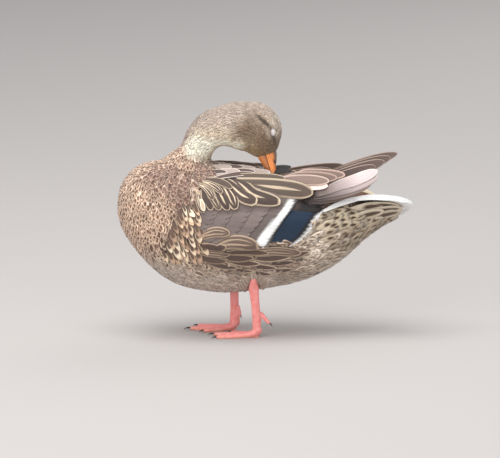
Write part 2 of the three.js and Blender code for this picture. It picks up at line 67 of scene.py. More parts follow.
HEAD_AT = np.array([4.0, 9.3, 244.8])
HEAD_PITCH = math.radians(67.7)
FORWARD = np.array([0.0, math.cos(HEAD_PITCH), -math.sin(HEAD_PITCH)])
UP = np.array([0.0, math.sin(HEAD_PITCH), math.cos(HEAD_PITCH)])
# The eyes: where the skin over the middle of one lies in the head, the eyeball's radius, how flat it
# is, how deep its middle lies, and which way it looks: to the side, forward and up.
EYE = {"forward": -2.6, "up": 1.1, "side": 15.4, "radius": 4.6, "flatness": 0.66, "depth": 1.7,
       "look": (0.825, 0.256, 0.503)}
FLESH = ["trunk", "neck_lower", "neck_middle", "neck_upper", "head", "thigh_left", "thigh_right"]
WING_BED = ["scapulars_left", "wing_left_coverts", "wing_left_secondaries",
            "scapulars_right", "wing_right_coverts", "wing_right_secondaries"]


def in_head(forward, up, side=0.0):
    """A place in the head, from how far it lies forward, up and to the side of the head's middle."""
    return HEAD_AT + FORWARD * forward + UP * up + np.array([side, 0.0, 0.0])


BILL_BASE = in_head(22, -15.5)
BILL_PITCH, BILL_YAW = math.radians(72), math.radians(9)
BILL_ALONG = (np.array([0, math.cos(BILL_PITCH), -math.sin(BILL_PITCH)]) * math.cos(BILL_YAW)
              + np.array([math.sin(BILL_YAW), 0, 0]))
BILL_UP = np.array([0, math.sin(BILL_PITCH), math.cos(BILL_PITCH)])


def eye_frame(side):
    """The place of the skin over an eye, and the directions forward, outward and up there."""
    to_side, forward, up = EYE["look"]
    out = np.array([side * to_side, 0.0, 0.0]) + FORWARD * forward + UP * up
    out = out / np.linalg.norm(out)
    ahead = FORWARD - out * (FORWARD @ out)
    ahead = ahead / np.linalg.norm(ahead)
    return in_head(EYE["forward"], EYE["up"], side * EYE["side"]), ahead, out, np.cross(ahead, out)


def srgb(*value):
    """A screen colour of 0 to 255 as the linear colour that the shaders use."""
    share = np.array(value, dtype=float) / 255.0
    return np.where(share <= 0.04045, share / 12.92, ((share + 0.055) / 1.055) ** 2.4)


# ---------------------------------------------------------------- how the coat lies and is coloured

# Each kind of coat: the distance between roots, the size of a feather, how far its tip stands off
# the skin, how deep the coat is, its pale and dark screen colours, and where on a feather the dark
# lies: "rim" is the width of the pale edge, "start" how far from the root the dark begins, and "line"
# how far from the edge a pale line lies in it.
COATS = {
    "face": dict(space=1.15, length=4.2, half=0.62, lift=0.4, depth=0.8, rim=0.5, start=0.0,
                 ground=(188, 164, 138), mark=(104, 84, 66)),
    "crown": dict(space=1.3, length=5.4, half=0.7, lift=0.5, depth=1.0, rim=0.5, start=0.0,
                  ground=(234, 216, 200), mark=(142, 123, 109)),
    "cheek": dict(space=1.25, length=5.2, half=0.68, lift=0.45, depth=0.9, rim=0.5, start=0.0,
                  ground=(176, 150, 122), mark=(96, 76, 58)),
    "throat": dict(space=1.5, length=7.6, half=1.05, lift=0.4, depth=1.2, rim=0.6, start=0.2,
                   ground=(250, 234, 208), mark=(224, 200, 170)),
    "neck": dict(space=1.6, length=8.6, half=1.1, lift=0.6, depth=1.5, rim=0.5, start=0.2,
                 ground=(232, 214, 198), mark=(142, 120, 106)),
    "neck_base": dict(space=2.5, length=10.0, half=1.9, lift=1.3, depth=2.2, rim=0.5, start=0.4,
                      ground=(234, 208, 186), mark=(138, 112, 98)),
    "breast": dict(space=3.7, length=12.5, half=2.9, lift=1.8, depth=2.8, rim=0.5, start=0.45,
                   ground=(250, 219, 193), mark=(104, 75, 59)),
    "shoulder": dict(space=3.9, length=13.0, half=3.1, lift=1.9, depth=2.8, rim=0.4, start=0.35,
                     ground=(220, 190, 170), mark=(112, 84, 74)),
    "side": dict(space=6.0, length=21.0, half=4.7, lift=2.2, depth=3.2, rim=0.36, start=0.2, line=0.95,
                 ground=(252, 228, 202), mark=(88, 65, 54)),
    "belly": dict(space=3.0, length=15.0, half=1.9, lift=1.3, depth=2.4, rim=0.5, start=0.3,
                  ground=(220, 204, 190), mark=(164, 146, 134)),
    "flank": dict(space=6.2, length=22.0, half=4.8, lift=2.2, depth=3.0, rim=0.25, start=0.15, line=0.85,
                  ground=(206, 184, 162), mark=(104, 84, 74)),
    "vent": dict(space=5.0, length=19.0, half=3.3, lift=1.7, depth=2.6, rim=0.64, start=0.4,
                 ground=(238, 222, 204), mark=(146, 124, 108)),
    "undertail": dict(space=7.8, length=27.0, half=5.2, lift=1.8, depth=2.4, rim=0.66, start=0.5,
                      ground=(196, 180, 156), mark=(70, 53, 41)),
    "mantle": dict(space=4.8, length=17.0, half=3.9, lift=2.6, depth=3.0, rim=0.26, start=0.1, line=0.85,
                   ground=(255, 240, 228), mark=(144, 126, 118)),
    "rump": dict(space=6.0, length=21.0, half=5.2, lift=2.0, depth=2.8, rim=0.18, start=0.1,
                 ground=(198, 172, 148), mark=(86, 69, 60)),
}
NO_LINE = -1.0
NUMBERS = ("space", "length", "half", "lift", "depth", "rim", "start", "line")

# Combing guides: a place, the direction in which the feathers lie there, and the kind of coat.
HEAD_GUIDES = [
    (in_head(24, -12), -FORWARD, "face"),
    (in_head(14, 6), -FORWARD, "face"),
    (in_head(12, -36), [0, -0.62, 0.78], "throat"),
    (in_head(0, 13), -FORWARD, "crown"),
    (in_head(-20, 15), [0, -0.62, 0.78], "crown"),
    (in_head(-40, 2), [0, -1, 0.2], "crown"),
    (in_head(0, -12), [0, -0.5, 0.87], "cheek"),
    (in_head(-18, -12), [0, -0.72, 0.69], "cheek"),
    (in_head(-4, -40), [0, -0.92, 0.4], "throat"),
    ([5, -31, 284], [0, -1, 0], "crown"),
    ([7, -50, 280], [0, -0.99, -0.15], "neck"),
    ([8, -72, 270], [0, -0.82, -0.57], "neck"),
    ([6, -92, 250], [0, -0.6, -0.8], "neck"),
    ([3, -106, 229], [0, -0.5, -0.87], "breast"),
    ([6, -38, 253], [0, -1, 0.05], "neck"),
    ([8, -60, 250], [0, -0.9, -0.4], "neck"),
    ([6, -78, 234], [0, -0.5, -0.86], "neck"),
    ([3, -90, 219], [0, -0.35, -0.94], "neck_base"),
    ([24, -50, 232], [0.1, -0.9, -0.4], "throat"),
    ([27, -64, 232], [0.15, -0.8, -0.6], "throat"),
    ([26, -78, 236], [0.1, -0.7, -0.7], "throat"),
    ([7, -40, 226], [0, -1, -0.1], "throat"),
    ([7, -56, 226], [0, -0.8, -0.6], "throat"),
    ([4, -63, 212], [0, -0.1, -1], "neck_base"),
]
MIDDLE_GUIDES = [
    ([0, -54, 203], [0, 0.9, -0.3], "mantle"),
    ([0, -20, 199], [0, 1, -0.1], "mantle"),
    ([0, 40, 190], [0, 1, -0.15], "mantle"),
    ([0, 88, 175], [0, 1, -0.3], "rump"),
    ([0, 125, 156], [0, 1, -0.3], "rump"),
    ([0, -124, 213], [0, -0.9, -0.2], "breast"),
    ([0, -158, 203], [0, -0.6, -0.8], "breast"),
    ([0, -178, 160], [0, 0.05, -1], "breast"),
    ([0, -168, 116], [0, 0.55, -0.83], "breast"),
    ([0, -140, 80], [0, 0.85, -0.5], "belly"),
    ([0, -100, 58], [0, 1, -0.15], "belly"),
    ([0, -40, 50], [0, 1, 0], "belly"),
    ([0, 30, 60], [0, 1, 0.15], "belly"),
    ([0, 84, 86], [0, 0.88, 0.47], "vent"),
    ([0, 116, 112], [0, 0.8, 0.6], "undertail"),
    ([0, 146, 136], [0, 0.85, 0.5], "undertail"),
]
SIDE_GUIDES = [
    ([26, -92, 222], [0.5, 0.1, -0.85], "breast"),
    ([30, -78, 212], [0.45, 0.4, -0.8], "shoulder"),
    ([28, -66, 207], [0.35, 0.7, -0.6], "shoulder"),
    ([30, -120, 212], [0.5, -0.35, -0.3], "shoulder"),
    ([46, -100, 208], [0.75, 0.1, -0.6], "shoulder"),
    ([42, -160, 170], [0.15, 0.15, -1], "breast"),
    ([56, -130, 160], [0, 0.4, -0.92], "breast"),
    ([60, -100, 176], [0, 0.45, -0.9], "shoulder"),
    ([62, -84, 190], [0, 0.6, -0.8], "side"),
    ([64, -96, 142], [0, 0.25, -0.97], "side"),
    ([58, -124, 118], [0, 0.35, -0.94], "side"),
    ([50, -142, 134], [0, 0.3, -0.95], "breast"),
    ([62, -80, 104], [0, 0.85, -0.52], "side"),
    ([46, -120, 86], [0, 0.85, -0.52], "belly"),
    ([50, -70, 66], [0, 0.98, -0.2], "belly"),
    ([64, -40, 100], [0, 0.96, -0.28], "flank"),
    ([62, 10, 96], [0, 0.99, -0.1], "flank"),
    ([54, 0, 66], [0, 1, -0.02], "belly"),
    ([54, 50, 104], [0, 1, 0.08], "vent"),
    ([44, 60, 84], [0, 0.97, 0.25], "vent"),
    ([46, 76, 142], [0, 0.93, 0.36], "undertail"),
    ([40, 92, 156], [0, 0.92, 0.4], "undertail"),
    ([30, 112, 158], [0, 0.92, 0.4], "undertail"),
    ([44, 84, 128], [0, 0.9, 0.43], "undertail"),
    ([30, 118, 136], [0, 0.88, 0.48], "undertail"),
    ([14, 142, 141], [0, 0.9, 0.42], "undertail"),
    ([38, -58, 198], [0.3, 0.8, -0.5], "shoulder"),
    ([34, -36, 198], [0.2, 0.9, -0.3], "mantle"),
    ([36, 30, 190], [0.05, 1, -0.12], "mantle"),
    ([28, 90, 178], [0.05, 1, -0.15], "rump"),
    ([32, 66, 182], [0.05, 1, -0.15], "rump"),
]
# The pieces that the coat is parted in, and the kinds of coat in each.
GROUPS = {
    "head": ("face", "crown", "cheek"), "neck": ("throat", "neck", "neck_base"),
    "breast": ("breast", "shoulder"), "flanks": ("side", "flank"), "belly": ("belly",),
    "undertail": ("vent", "undertail"), "back": ("mantle", "rump"),
}
FINE_GROUPS = ("head", "neck")
GUIDE_BLUR = 9.0              # how softly one guide gives way to the next

# Markings that cross the kinds of coat: capsules from one place to another, with a soft radius,
# their two colours and how strongly they cover the coat below.
MARKINGS = []
NECK_FOOT_Z = 215             # above it, places are mirrored about the middle of the turned head


def marking(start, end, radius, ground, mark, strength=1.0, sides=(LEFT, RIGHT)):
    """Adds a marking to each of the sides."""
    for side in sides:
        flip = np.array([side, 1, 1])
        middle = np.array([HEAD_AT[0] * (1 - side), 0, 0]) if start[2] > NECK_FOOT_Z else 0
        MARKINGS.append((
            np.array(start) * flip + middle, np.array(end) * flip + middle,
            radius, srgb(*ground), srgb(*mark), strength))


# The warm cheek, the dark stripe behind and before the eye, the pale lines above and below it, and the
# darker feathers at the base of the bill and on the chin.
marking(in_head(13, -13, 15), in_head(-14, -27, 19), 12.0, (146, 114, 82), (72, 51, 34), 0.75)
marking(in_head(-6, 1.5, 20), in_head(-30, -8, 21), 2.4, (96, 76, 62), (50, 38, 31))
marking(in_head(4, 0, 17), in_head(21, -3, 10), 3.0, (104, 86, 70), (56, 45, 36))
marking(in_head(6, 7, 14), in_head(-26, 3, 19), 2.8, (236, 220, 200), (190, 168, 146), 0.9)
marking(in_head(-6, -4, 20), in_head(4, -5, 18), 2.0, (214, 198, 182), (160, 140, 122), 0.6)
marking(in_head(20, -20, 10), in_head(16, -22, 14), 4.0, (120, 98, 70), (66, 52, 38), 0.8)
marking(in_head(21, -23, 10), in_head(-2, -46, 11), 9.0, (172, 141, 102), (106, 82, 56), 0.95)
# The darker feathers behind the legs and below the tail.
marking([50, 10, 66], [40, 70, 78], 14.0, (174, 155, 136), (120, 102, 88), 0.75)
marking([40, 70, 108], [15, 122, 124], 16.0, (160, 140, 119), (88, 70, 57), 0.75)
# The pale foreneck, which the turned neck shows on the left.
CREAM = ((255, 252, 236), (255, 245, 218))
for start, end, radius in (
        ([18, -28, 227], [26, -46, 230], 7.0), ([26, -46, 230], [31, -62, 230], 10.0),
        ([31, -62, 230], [28, -82, 236], 12.0), ([28, -82, 236], [24, -94, 234], 8.0),
        ([26, -58, 220], [26, -66, 224], 7.0)):
    marking(start, end, radius, *CREAM, sides=(LEFT,))

# Waves across the body whose sum makes the colour of the coat uneven, and how strongly.
MOTTLE_WAVES = np.array([
    [0.31, 0.52, 0.22], [-0.44, 0.61, 0.35], [0.25, -0.37, 0.68], [0.72, 0.16, -0.49],
    [0.18, 0.93, -0.34]])
MOTTLE = 0.13


def guide_table():
    """Places, directions and coats of all guides, with those of the sides mirrored."""
    rows = [(np.array(p, float), np.array(d, float), c) for p, d, c in HEAD_GUIDES + MIDDLE_GUIDES]
    for place, way, coat in SIDE_GUIDES:
        for side in (LEFT, RIGHT):
            flip = np.array([side, 1, 1])
            rows.append((np.array(place) * flip, np.array(way) * flip, coat))
    places = np.array([row[0] for row in rows])
    ways = np.array([row[1] / np.linalg.norm(row[1]) for row in rows])
    return places, ways, [row[2] for row in rows]


GUIDE_PLACES, GUIDE_WAYS, GUIDE_COATS = guide_table()
GUIDE_NUMBERS = np.array([[COATS[coat].get(name, NO_LINE) for name in NUMBERS] for coat in GUIDE_COATS])
GUIDE_GROUND = np.array([srgb(*COATS[coat]["ground"]) for coat in GUIDE_COATS])
GUIDE_MARK = np.array([srgb(*COATS[coat]["mark"]) for coat in GUIDE_COATS])
GUIDE_GROUP = np.array([index for coat in GUIDE_COATS
                        for index, coats in enumerate(GROUPS.values()) if coat in coats])


def guide_shares(places):
    """How much each guide counts at each place."""
    gaps = ((places[:, None, :] - GUIDE_PLACES[None, :, :]) ** 2).sum(axis=2)
    weights = 1.0 / (gaps + GUIDE_BLUR ** 2) ** 3
    return weights / weights.sum(axis=1, keepdims=True)


def mottled(places):
    """How light the coat is at each place, about 1."""
    waves = np.sin(places @ MOTTLE_WAVES.T).sum(axis=1, keepdims=True)
    return 1 + MOTTLE * waves / math.sqrt(len(MOTTLE_WAVES))


def coat_at(places):
    """The numbers of the coat, its pale and dark colours and its group at each place."""
    shares = guide_shares(places)
    numbers = dict(zip(NUMBERS, (shares @ GUIDE_NUMBERS).T))
    tone = mottled(places)
    ground = shares @ GUIDE_GROUND * tone
    mark = shares @ GUIDE_MARK * tone
    for start, end, radius, over_ground, over_mark, strength in MARKINGS:
        line = end - start
        along = np.clip((places - start) @ line / (line @ line), 0, 1)
        away = np.linalg.norm(places - start - along[:, None] * line, axis=1)
        cover = strength * np.clip(1.5 - away / radius, 0, 1)
        ground = blend(cover, ground, over_ground)
        mark = blend(cover, mark, over_mark)
    votes = np.zeros((len(places), len(GROUPS)))
    for group in range(len(GROUPS)):
        votes[:, group] = shares[:, GUIDE_GROUP == group].sum(axis=1)
    return numbers, ground, mark, votes.argmax(axis=1)


def combed(places, normals):
    """The direction in which feathers lie at each place of the skin."""
    way = guide_shares(places) @ GUIDE_WAYS
    way -= (way * normals).sum(axis=1, keepdims=True) * normals
    return unit(way)


# ---------------------------------------------------------------- surfaces

class Surface:
    """A mesh that feathers can be rooted in and laid over."""

    def __init__(self, piece):
        self.points, self.normals = read_points(piece)
        mesh = piece.data
        mesh.calc_loop_triangles()
        corners = np.empty(len(mesh.loop_triangles) * 3, dtype=np.int32)
        mesh.loop_triangles.foreach_get("vertices", corners)
        self.triangles = corners.reshape(-1, 3)
        self.tree = BVHTree.FromPolygons(self.points.tolist(), self.triangles.tolist())

    def normals_at(self, places, faces):
        """Smooth normals at places that lie on the given triangles."""
        a, b, c = (self.points[self.triangles[faces, k]] for k in range(3))
        whole = np.linalg.norm(np.cross(b - a, c - a), axis=1) + 1e-9
        share_a = np.linalg.norm(np.cross(b - places, c - places), axis=1) / whole
        share_b = np.linalg.norm(np.cross(c - places, a - places), axis=1) / whole
        share_c = np.clip(1 - share_a - share_b, 0, 1)
        shares = np.stack([share_a, share_b, share_c], axis=1)
        mixed = (self.normals[self.triangles[faces]] * shares[:, :, None]).sum(axis=1)
        return unit(mixed)

    def nearest(self, places):
        """The nearest places on the surface, and the normals there."""
        found = [self.tree.find_nearest(place) for place in places.tolist()]
        spots = np.array([hit[0] for hit in found])
        faces = np.array([hit[2] for hit in found])
        return spots, self.normals_at(spots, faces)

    def from_side(self, y, z, side):
        """The place that a look along X meets first, or the nearest one where it passes by."""
        hit = self.tree.ray_cast((side * 200.0, y, z), (-side, 0, 0))[0]
        if hit is None:
            hit = self.tree.find_nearest((side * 8.0, y, z))[0]
        return np.array(hit)


TRIES = 5.0                   # random places tried for each one that the spacing asks for
CROWDING = 0.86               # how near two roots may be, against the spacing there


def scattered(surface, spacing_of, rng):
    """Places all over the surface, none much nearer to another than the spacing there."""
    corners = surface.points[surface.triangles]
    first, second = corners[:, 1] - corners[:, 0], corners[:, 2] - corners[:, 0]
    areas = np.linalg.norm(np.cross(first, second), axis=1) / 2
    spacing = spacing_of(corners.mean(axis=1))
    wanted = areas / spacing ** 2
    count = int(wanted.sum() * TRIES)
    faces = rng.choice(len(areas), size=count, p=wanted / wanted.sum())
    mix = rng.random((count, 2))
    mix = np.where(mix.sum(axis=1, keepdims=True) > 1, 1 - mix, mix)
    a, b, c = (corners[faces, k] for k in range(3))
    places = a + (b - a) * mix[:, :1] + (c - a) * mix[:, 1:]
    near = spacing[faces]
    tree = KDTree(count)
    for i, place in enumerate(places.tolist()):
        tree.insert(place, i)
    tree.balance()
    free = np.ones(count, dtype=bool)
    kept = []
    for i in range(count):
        if free[i]:
            kept.append(i)
            for _, other, _ in tree.find_range(places[i], near[i] * CROWDING):
                free[other] = False
    return places[kept], faces[kept]


# ---------------------------------------------------------------- feathers

def swelling(v, root, widest):
    """How wide a feather is from its root to its widest place, against that place."""
    return root + (1 - root) * np.sin(np.clip(v / widest, 0, 1) * math.pi / 2)


def outline(v, root=0.35, widest=0.6, tip=0.5):
    """Half-width of a small feather along its length, against its greatest half-width."""
    return swelling(v, root, widest) * (1 - (1 - tip) * np.clip((v - widest) / (1 - widest), 0, 1) ** 2)


def rounded(v, power, root=0.5, widest=0.6):
    """Half-width of a long feather with a rounded tip, along its length, against the greatest."""
    fall = np.clip((v - widest) / (1 - widest), 0, 1)
    return swelling(v, root, widest) * np.sqrt(np.maximum(1 - fall ** power, 0.03))


class Feathers:
    """Feathers of one piece, gathered batch by batch and then made one mesh."""

    def __init__(self):
        self.batches = []
        self.vertices = 0

    def add(self, grid, normals, thick, u, v, edge, ground, mark, shape, patches, rng):
        """Adds feathers that share a grid: rows along the feather and columns across it.

        The top of each is crowned, its underside is flat, and both meet along its outline.
        """
        count, rows, columns = grid.shape[:3]
        crown = (np.sin(np.clip(v, 0.04, 1) * math.pi)[:, None] * (1 - u ** 2))[None, :, :, None]
        top = grid + normals * thick * (0.3 + 0.7 * crown)
        below = (grid - normals * thick * 0.3)[:, 1:-1, 1:-1]
        verts = np.concatenate([top.reshape(count, -1, 3), below.reshape(count, -1, 3)], axis=1)
        upper = np.arange(rows * columns).reshape(rows, columns)
        lower, inner = upper.copy(), upper[1:-1, 1:-1]
        lower[1:-1, 1:-1] = upper.size + np.arange(inner.size).reshape(inner.shape)
        place = np.concatenate([upper.ravel(), inner.ravel()])

        def quads(index, flipped):
            a, b, c, d = index[:-1, :-1], index[:-1, 1:], index[1:, 1:], index[1:, :-1]
            order = (a, d, c, b) if flipped else (a, b, c, d)
            return np.stack([part.ravel() for part in order], axis=1)

        template = np.concatenate([quads(lower, True), quads(upper, False)])
        spots = np.concatenate([quads(upper, True), quads(upper, False)])
        each = verts.shape[1]
        faces = template[None] + (np.arange(count) * each)[:, None, None] + self.vertices
        self.vertices += count * each

        def spread(value, width):
            """A value per feather, per row and column or both, for every vertex."""
            value = np.asarray(value, dtype=float)
            if value.ndim == 2 and value.shape == (count, width):
                value = value[:, None, None, :]
            full = np.broadcast_to(value, (count, rows, columns, width))
            return full.reshape(count, rows * columns, width)[:, place]

        vane = np.zeros((count, rows, columns, 3))
        vane[..., 0] = u
        vane[..., 1] = v[:, None]
        vane[..., 2] = rng.random(count)[:, None, None]
        corner, size = patches[:, None, None, :2], patches[:, None, None, 2:]
        within = np.stack(np.broadcast_arrays((u + 1) / 2, v[:, None]), axis=-1)
        uv = (corner + size * within).reshape(count, rows * columns, 2)[:, spots.ravel()]
        edge = np.broadcast_to(edge, (count, rows, columns))[..., None]
        self.batches.append(dict(
            verts=verts.reshape(-1, 3), faces=faces.reshape(-1, 4), uv=uv.reshape(-1, 2),
            vane=spread(vane, 3).reshape(-1, 3), edge=spread(edge, 1).reshape(-1),
            ground=spread(ground, 3).reshape(-1, 3), mark=spread(mark, 3).reshape(-1, 3),
            shape=spread(shape, 3).reshape(-1, 3)))

    def build(self, name, material, slot, replaced=()):
        """Makes the piece from all that was added."""
        joined = {key: np.concatenate([batch[key] for batch in self.batches]) for key in self.batches[0]}
        mesh = bpy.data.meshes.new(name)
        mesh.vertices.add(len(joined["verts"]))
        mesh.vertices.foreach_set("co", (joined["verts"] * MM).ravel())
        mesh.loops.add(joined["faces"].size)
        mesh.loops.foreach_set("vertex_index", joined["faces"].ravel().astype(np.int32))
        mesh.polygons.add(len(joined["faces"]))
        mesh.polygons.foreach_set("loop_start", np.arange(len(joined["faces"]), dtype=np.int32) * 4)
        mesh.update(calc_edges=True)
        mesh.polygons.foreach_set("use_smooth", np.ones(len(joined["faces"]), dtype=bool))
        layer = mesh.uv_layers.new(name="OFBake")
        layer.data.foreach_set("uv", joined["uv"].ravel())
        for key, kind, field in (("vane", "FLOAT_VECTOR", "vector"), ("shape", "FLOAT_VECTOR", "vector"),
                                 ("edge", "FLOAT", "value")):
            attribute = mesh.attributes.new(key, kind, "POINT")
            attribute.data.foreach_set(field, joined[key].ravel())
        for key in ("ground", "mark"):
            attribute = mesh.attributes.new(key, "FLOAT_COLOR", "POINT")
            opaque = np.ones((len(joined[key]), 1))
            attribute.data.foreach_set("color", np.hstack([joined[key], opaque]).ravel())
        mesh.materials.append(material)
        mesh.validate()
        piece = bpy.data.objects.new(name, mesh)
        bpy.context.scene.collection.objects.link(piece)
        finish_piece(piece, replaced)


def edge_distance(u, v, half_shares, slender):
    """How far each grid point lies inside the outline, in half-widths."""
    sideways = (1 - np.abs(u))[None, :] * half_shares[:, None]
    endways = ((1 - v) * slender)[:, None]
    return np.minimum(sideways, endways)


# ---------------------------------------------------------------- materials

class Nodes:
    """A short way to write a node tree."""

    def __init__(self, name):
        self.material = bpy.data.materials.new(name)
        self.material.use_nodes = True
        self.tree = self.material.node_tree
        self.tree.nodes.clear()
        self.shader = self.add("ShaderNodeBsdfPrincipled")
        output = self.add("ShaderNodeOutputMaterial")
        self.tree.links.new(self.shader.outputs["BSDF"], output.inputs["Surface"])

    def add(self, kind, **settings):
        node = self.tree.nodes.new(kind)
        for name, value in settings.items():
            setattr(node, name, value)
        return node

    def link(self, source, target):
        self.tree.links.new(source, target)

    def place(self):
        """Coordinates in the piece's own space."""
        return self.add("ShaderNodeTexCoord").outputs["Object"]

    def attribute(self, name, output="Vector"):
        """What the mesh holds under that name."""
        return self.add("ShaderNodeAttribute", attribute_name=name).outputs[output]

    def parts(self, vector):
        node = self.add("ShaderNodeSeparateXYZ")
        self.link(vector, node.inputs[0])
        return node.outputs

    def math(self, operation, *values):
        node = self.add("ShaderNodeMath", operation=operation)
        for socket, value in zip(node.inputs, values):
            if isinstance(value, (int, float)):
                socket.default_value = value
            else:
                self.link(value, socket)
        return node.outputs[0]

    def step(self, value, low, high, low_to=0.0, high_to=1.0):
        """A smooth step from one level to another."""
        node = self.add("ShaderNodeMapRange", interpolation_type="SMOOTHSTEP")
        for name, given in (("Value", value), ("From Min", low), ("From Max", high),
                            ("To Min", low_to), ("To Max", high_to)):
            if isinstance(given, (int, float)):
                node.inputs[name].default_value = given
            else:
                self.link(given, node.inputs[name])
        return node.outputs["Result"]

    def noise(self, vector, scale, detail=3.0, roughness=0.55):
        node = self.add("ShaderNodeTexNoise")
        node.inputs["Scale"].default_value = scale
        node.inputs["Detail"].default_value = detail
        node.inputs["Roughness"].default_value = roughness
        self.link(vector, node.inputs["Vector"])
        return node.outputs["Fac"]

    def stretched(self, vector, scale):
        node = self.add("ShaderNodeMapping")
        node.inputs["Scale"].default_value = scale
        self.link(vector, node.inputs["Vector"])
        return node.outputs["Vector"]

    def mix(self, share, first, second, blend="MIX"):
        """The second colour over the first one, as strongly as the share says."""
        node = self.add("ShaderNodeMix", data_type="RGBA", blend_type=blend)
        sockets = node.inputs["Factor"], *(each for each in node.inputs if each.type == "RGBA")
        for socket, value in zip(sockets, (share, first, second)):
            if isinstance(value, (int, float)):
                socket.default_value = value
            elif isinstance(value, (tuple, list, np.ndarray)):
                socket.default_value = (*value[:3], 1.0)
            else:
                self.link(value, socket)
        return next(each for each in node.outputs if each.type == "RGBA")

    def colour(self, source):
        """Makes this the colour of the surface."""
        self.link(source, self.shader.inputs["Base Color"])

    def bump(self, height, strength, distance):
        node = self.add("ShaderNodeBump")
        node.inputs["Strength"].default_value = strength
        node.inputs["Distance"].default_value = distance
        self.link(height, node.inputs["Height"])
        self.link(node.outputs["Normal"], self.shader.inputs["Normal"])

    def set(self, **values):
        """Sets numbers that are the same all over on the shader's own sockets."""
        for name, value in values.items():
            self.shader.inputs[name.replace("_", " ")].default_value = value


def feather_colour(nodes, vane, streaks, line_width, faintest):
    """A dark centre inside a pale edge, with a pale line in it that ends before the tip."""
    v, chance = nodes.parts(vane)[1:]
    rim, start, line = nodes.parts(nodes.attribute("shape"))
    ragged = nodes.math("MULTIPLY_ADD", streaks, 0.24, -0.12)
    level = nodes.math("ADD", nodes.attribute("edge", "Fac"), ragged)
    # The centre, the warmer tone that leads over to it, and the part of the length that has both.
    inside = nodes.step(level, nodes.math("SUBTRACT", rim, 0.1), nodes.math("ADD", rim, 0.1))
    warm = nodes.step(level, nodes.math("SUBTRACT", rim, 0.34), nodes.math("SUBTRACT", rim, 0.08))
    outer = nodes.step(v, nodes.math("SUBTRACT", start, 0.15), nodes.math("ADD", start, 0.05))
    # All but the pale line, which is broader at the root.
    off_line = nodes.math("ABSOLUTE", nodes.math("SUBTRACT", level, line))
    off_line = nodes.math("DIVIDE", off_line, nodes.math("SUBTRACT", 1.3, v))
    beside = nodes.math("MAXIMUM", nodes.step(off_line, line_width * 0.5, line_width * 1.3),
                        nodes.step(v, 0.72, 0.92))
    boldness = nodes.step(chance, 0.0, 0.5, faintest, 1.0)
    dark = nodes.math("MULTIPLY", nodes.math("MULTIPLY", inside, outer), beside)
    dark = nodes.math("MULTIPLY", dark, boldness)
    ground = nodes.attribute("ground", "Color")
    mark = nodes.attribute("mark", "Color")
    middle = nodes.add("ShaderNodeHueSaturation")
    middle.inputs["Saturation"].default_value = 1.12
    nodes.link(nodes.mix(0.3, ground, mark), middle.inputs["Color"])
    colour = nodes.mix(nodes.math("MULTIPLY", warm, outer), ground, middle.outputs["Color"])
    colour = nodes.mix(dark, colour, mark)
    # Streaks along the feather, and a tone of its own for each one.
    fade = nodes.step(streaks, 0.25, 0.75, 0.80, 1.14)
    grain = nodes.add("ShaderNodeCombineColor")
    for socket in grain.inputs[:3]:
        nodes.link(fade, socket)
    spread = nodes.add("ShaderNodeHueSaturation")
    nodes.link(nodes.step(chance, 0.0, 1.0, 0.88, 1.12), spread.inputs["Value"])
    nodes.link(nodes.mix(1.0, colour, grain.outputs[0], "MULTIPLY"), spread.inputs["Color"])
    nodes.colour(spread.outputs["Color"])


def feather_material(name, roughness, sheen, gloss=0.3, barbs=34.0, line_width=0.17, faintest=0.62):
    """Feathers with their markings, a shaft and slanting barbs; "barbs" is how many, "line_width" how
    broad the pale line is, and "faintest" how dark the centre of the faintest feather is."""
    nodes = Nodes(name)
    vane = nodes.attribute("vane")
    streaks = nodes.noise(nodes.stretched(vane, (5.0, 1.6, 40.0)), 3.0, 4.0, 0.6)
    feather_colour(nodes, vane, streaks, line_width, faintest)
    u, v = nodes.parts(vane)[:2]
    sideways = nodes.math("ABSOLUTE", u)
    slant = nodes.math("MULTIPLY", sideways, -barbs * 0.35)
    chevron = nodes.math("ADD", nodes.math("MULTIPLY", v, barbs), slant)
    ridges = nodes.math("SINE", nodes.math("MULTIPLY", chevron, 2 * math.pi))
    shaft = nodes.step(sideways, 0.0, 0.07, 3.0, 0.0)
    nodes.bump(nodes.math("ADD", nodes.math("ADD", ridges, shaft), streaks), 0.25, 0.0003)
    nodes.set(Roughness=roughness, Sheen_Weight=sheen, Sheen_Roughness=0.5, Specular_IOR_Level=gloss)
    return nodes.material


def material_named(name, make, **settings):
    """The material of that name, made on first use."""
    return bpy.data.materials.get(name) or make(name, **settings)


def body_feathers():
    return material_named("body_feather", feather_material, roughness=0.72, sheen=0.25)


def wing_feathers():
    return material_named("wing_feather", feather_material, roughness=0.6, sheen=0.12, gloss=0.4,
                          barbs=60.0, line_width=0.16, faintest=0.9)


def speculum_feathers():
    return material_named("speculum_feather", feather_material, roughness=0.45, sheen=0.0, gloss=0.4,
                          barbs=60.0)


# ---------------------------------------------------------------- modelling helpers

def finish_piece(piece, replaced=()):
    """Ties the piece to the body and hides the CAD nodes that it replaces."""
    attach(piece, BODY)
    if replaced:
        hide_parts(*replaced)


def deselect():
    bpy.ops.object.select_all(action="DESELECT")


def select(*pieces):
    """Selects only these pieces, and makes the first one active."""
    deselect()
    for piece in pieces:
        piece.select_set(True)
    bpy.context.view_layer.objects.active = pieces[0]


def modify(piece, kind, **settings):
    """Adds a modifier with these settings and applies it."""
    select(piece)
    bpy.ops.object.modifier_add(type=kind)
    modifier = piece.modifiers[-1]
    for name, value in settings.items():
        setattr(modifier, name, value)
    bpy.ops.object.modifier_apply(modifier=modifier.name)


def remesh(piece, grain, rounds):
    """Makes one even, closed surface of the piece and smooths it."""
    modify(piece, "REMESH", mode="VOXEL", voxel_size=grain, use_smooth_shade=True)
    modify(piece, "SMOOTH", factor=0.5, iterations=rounds)


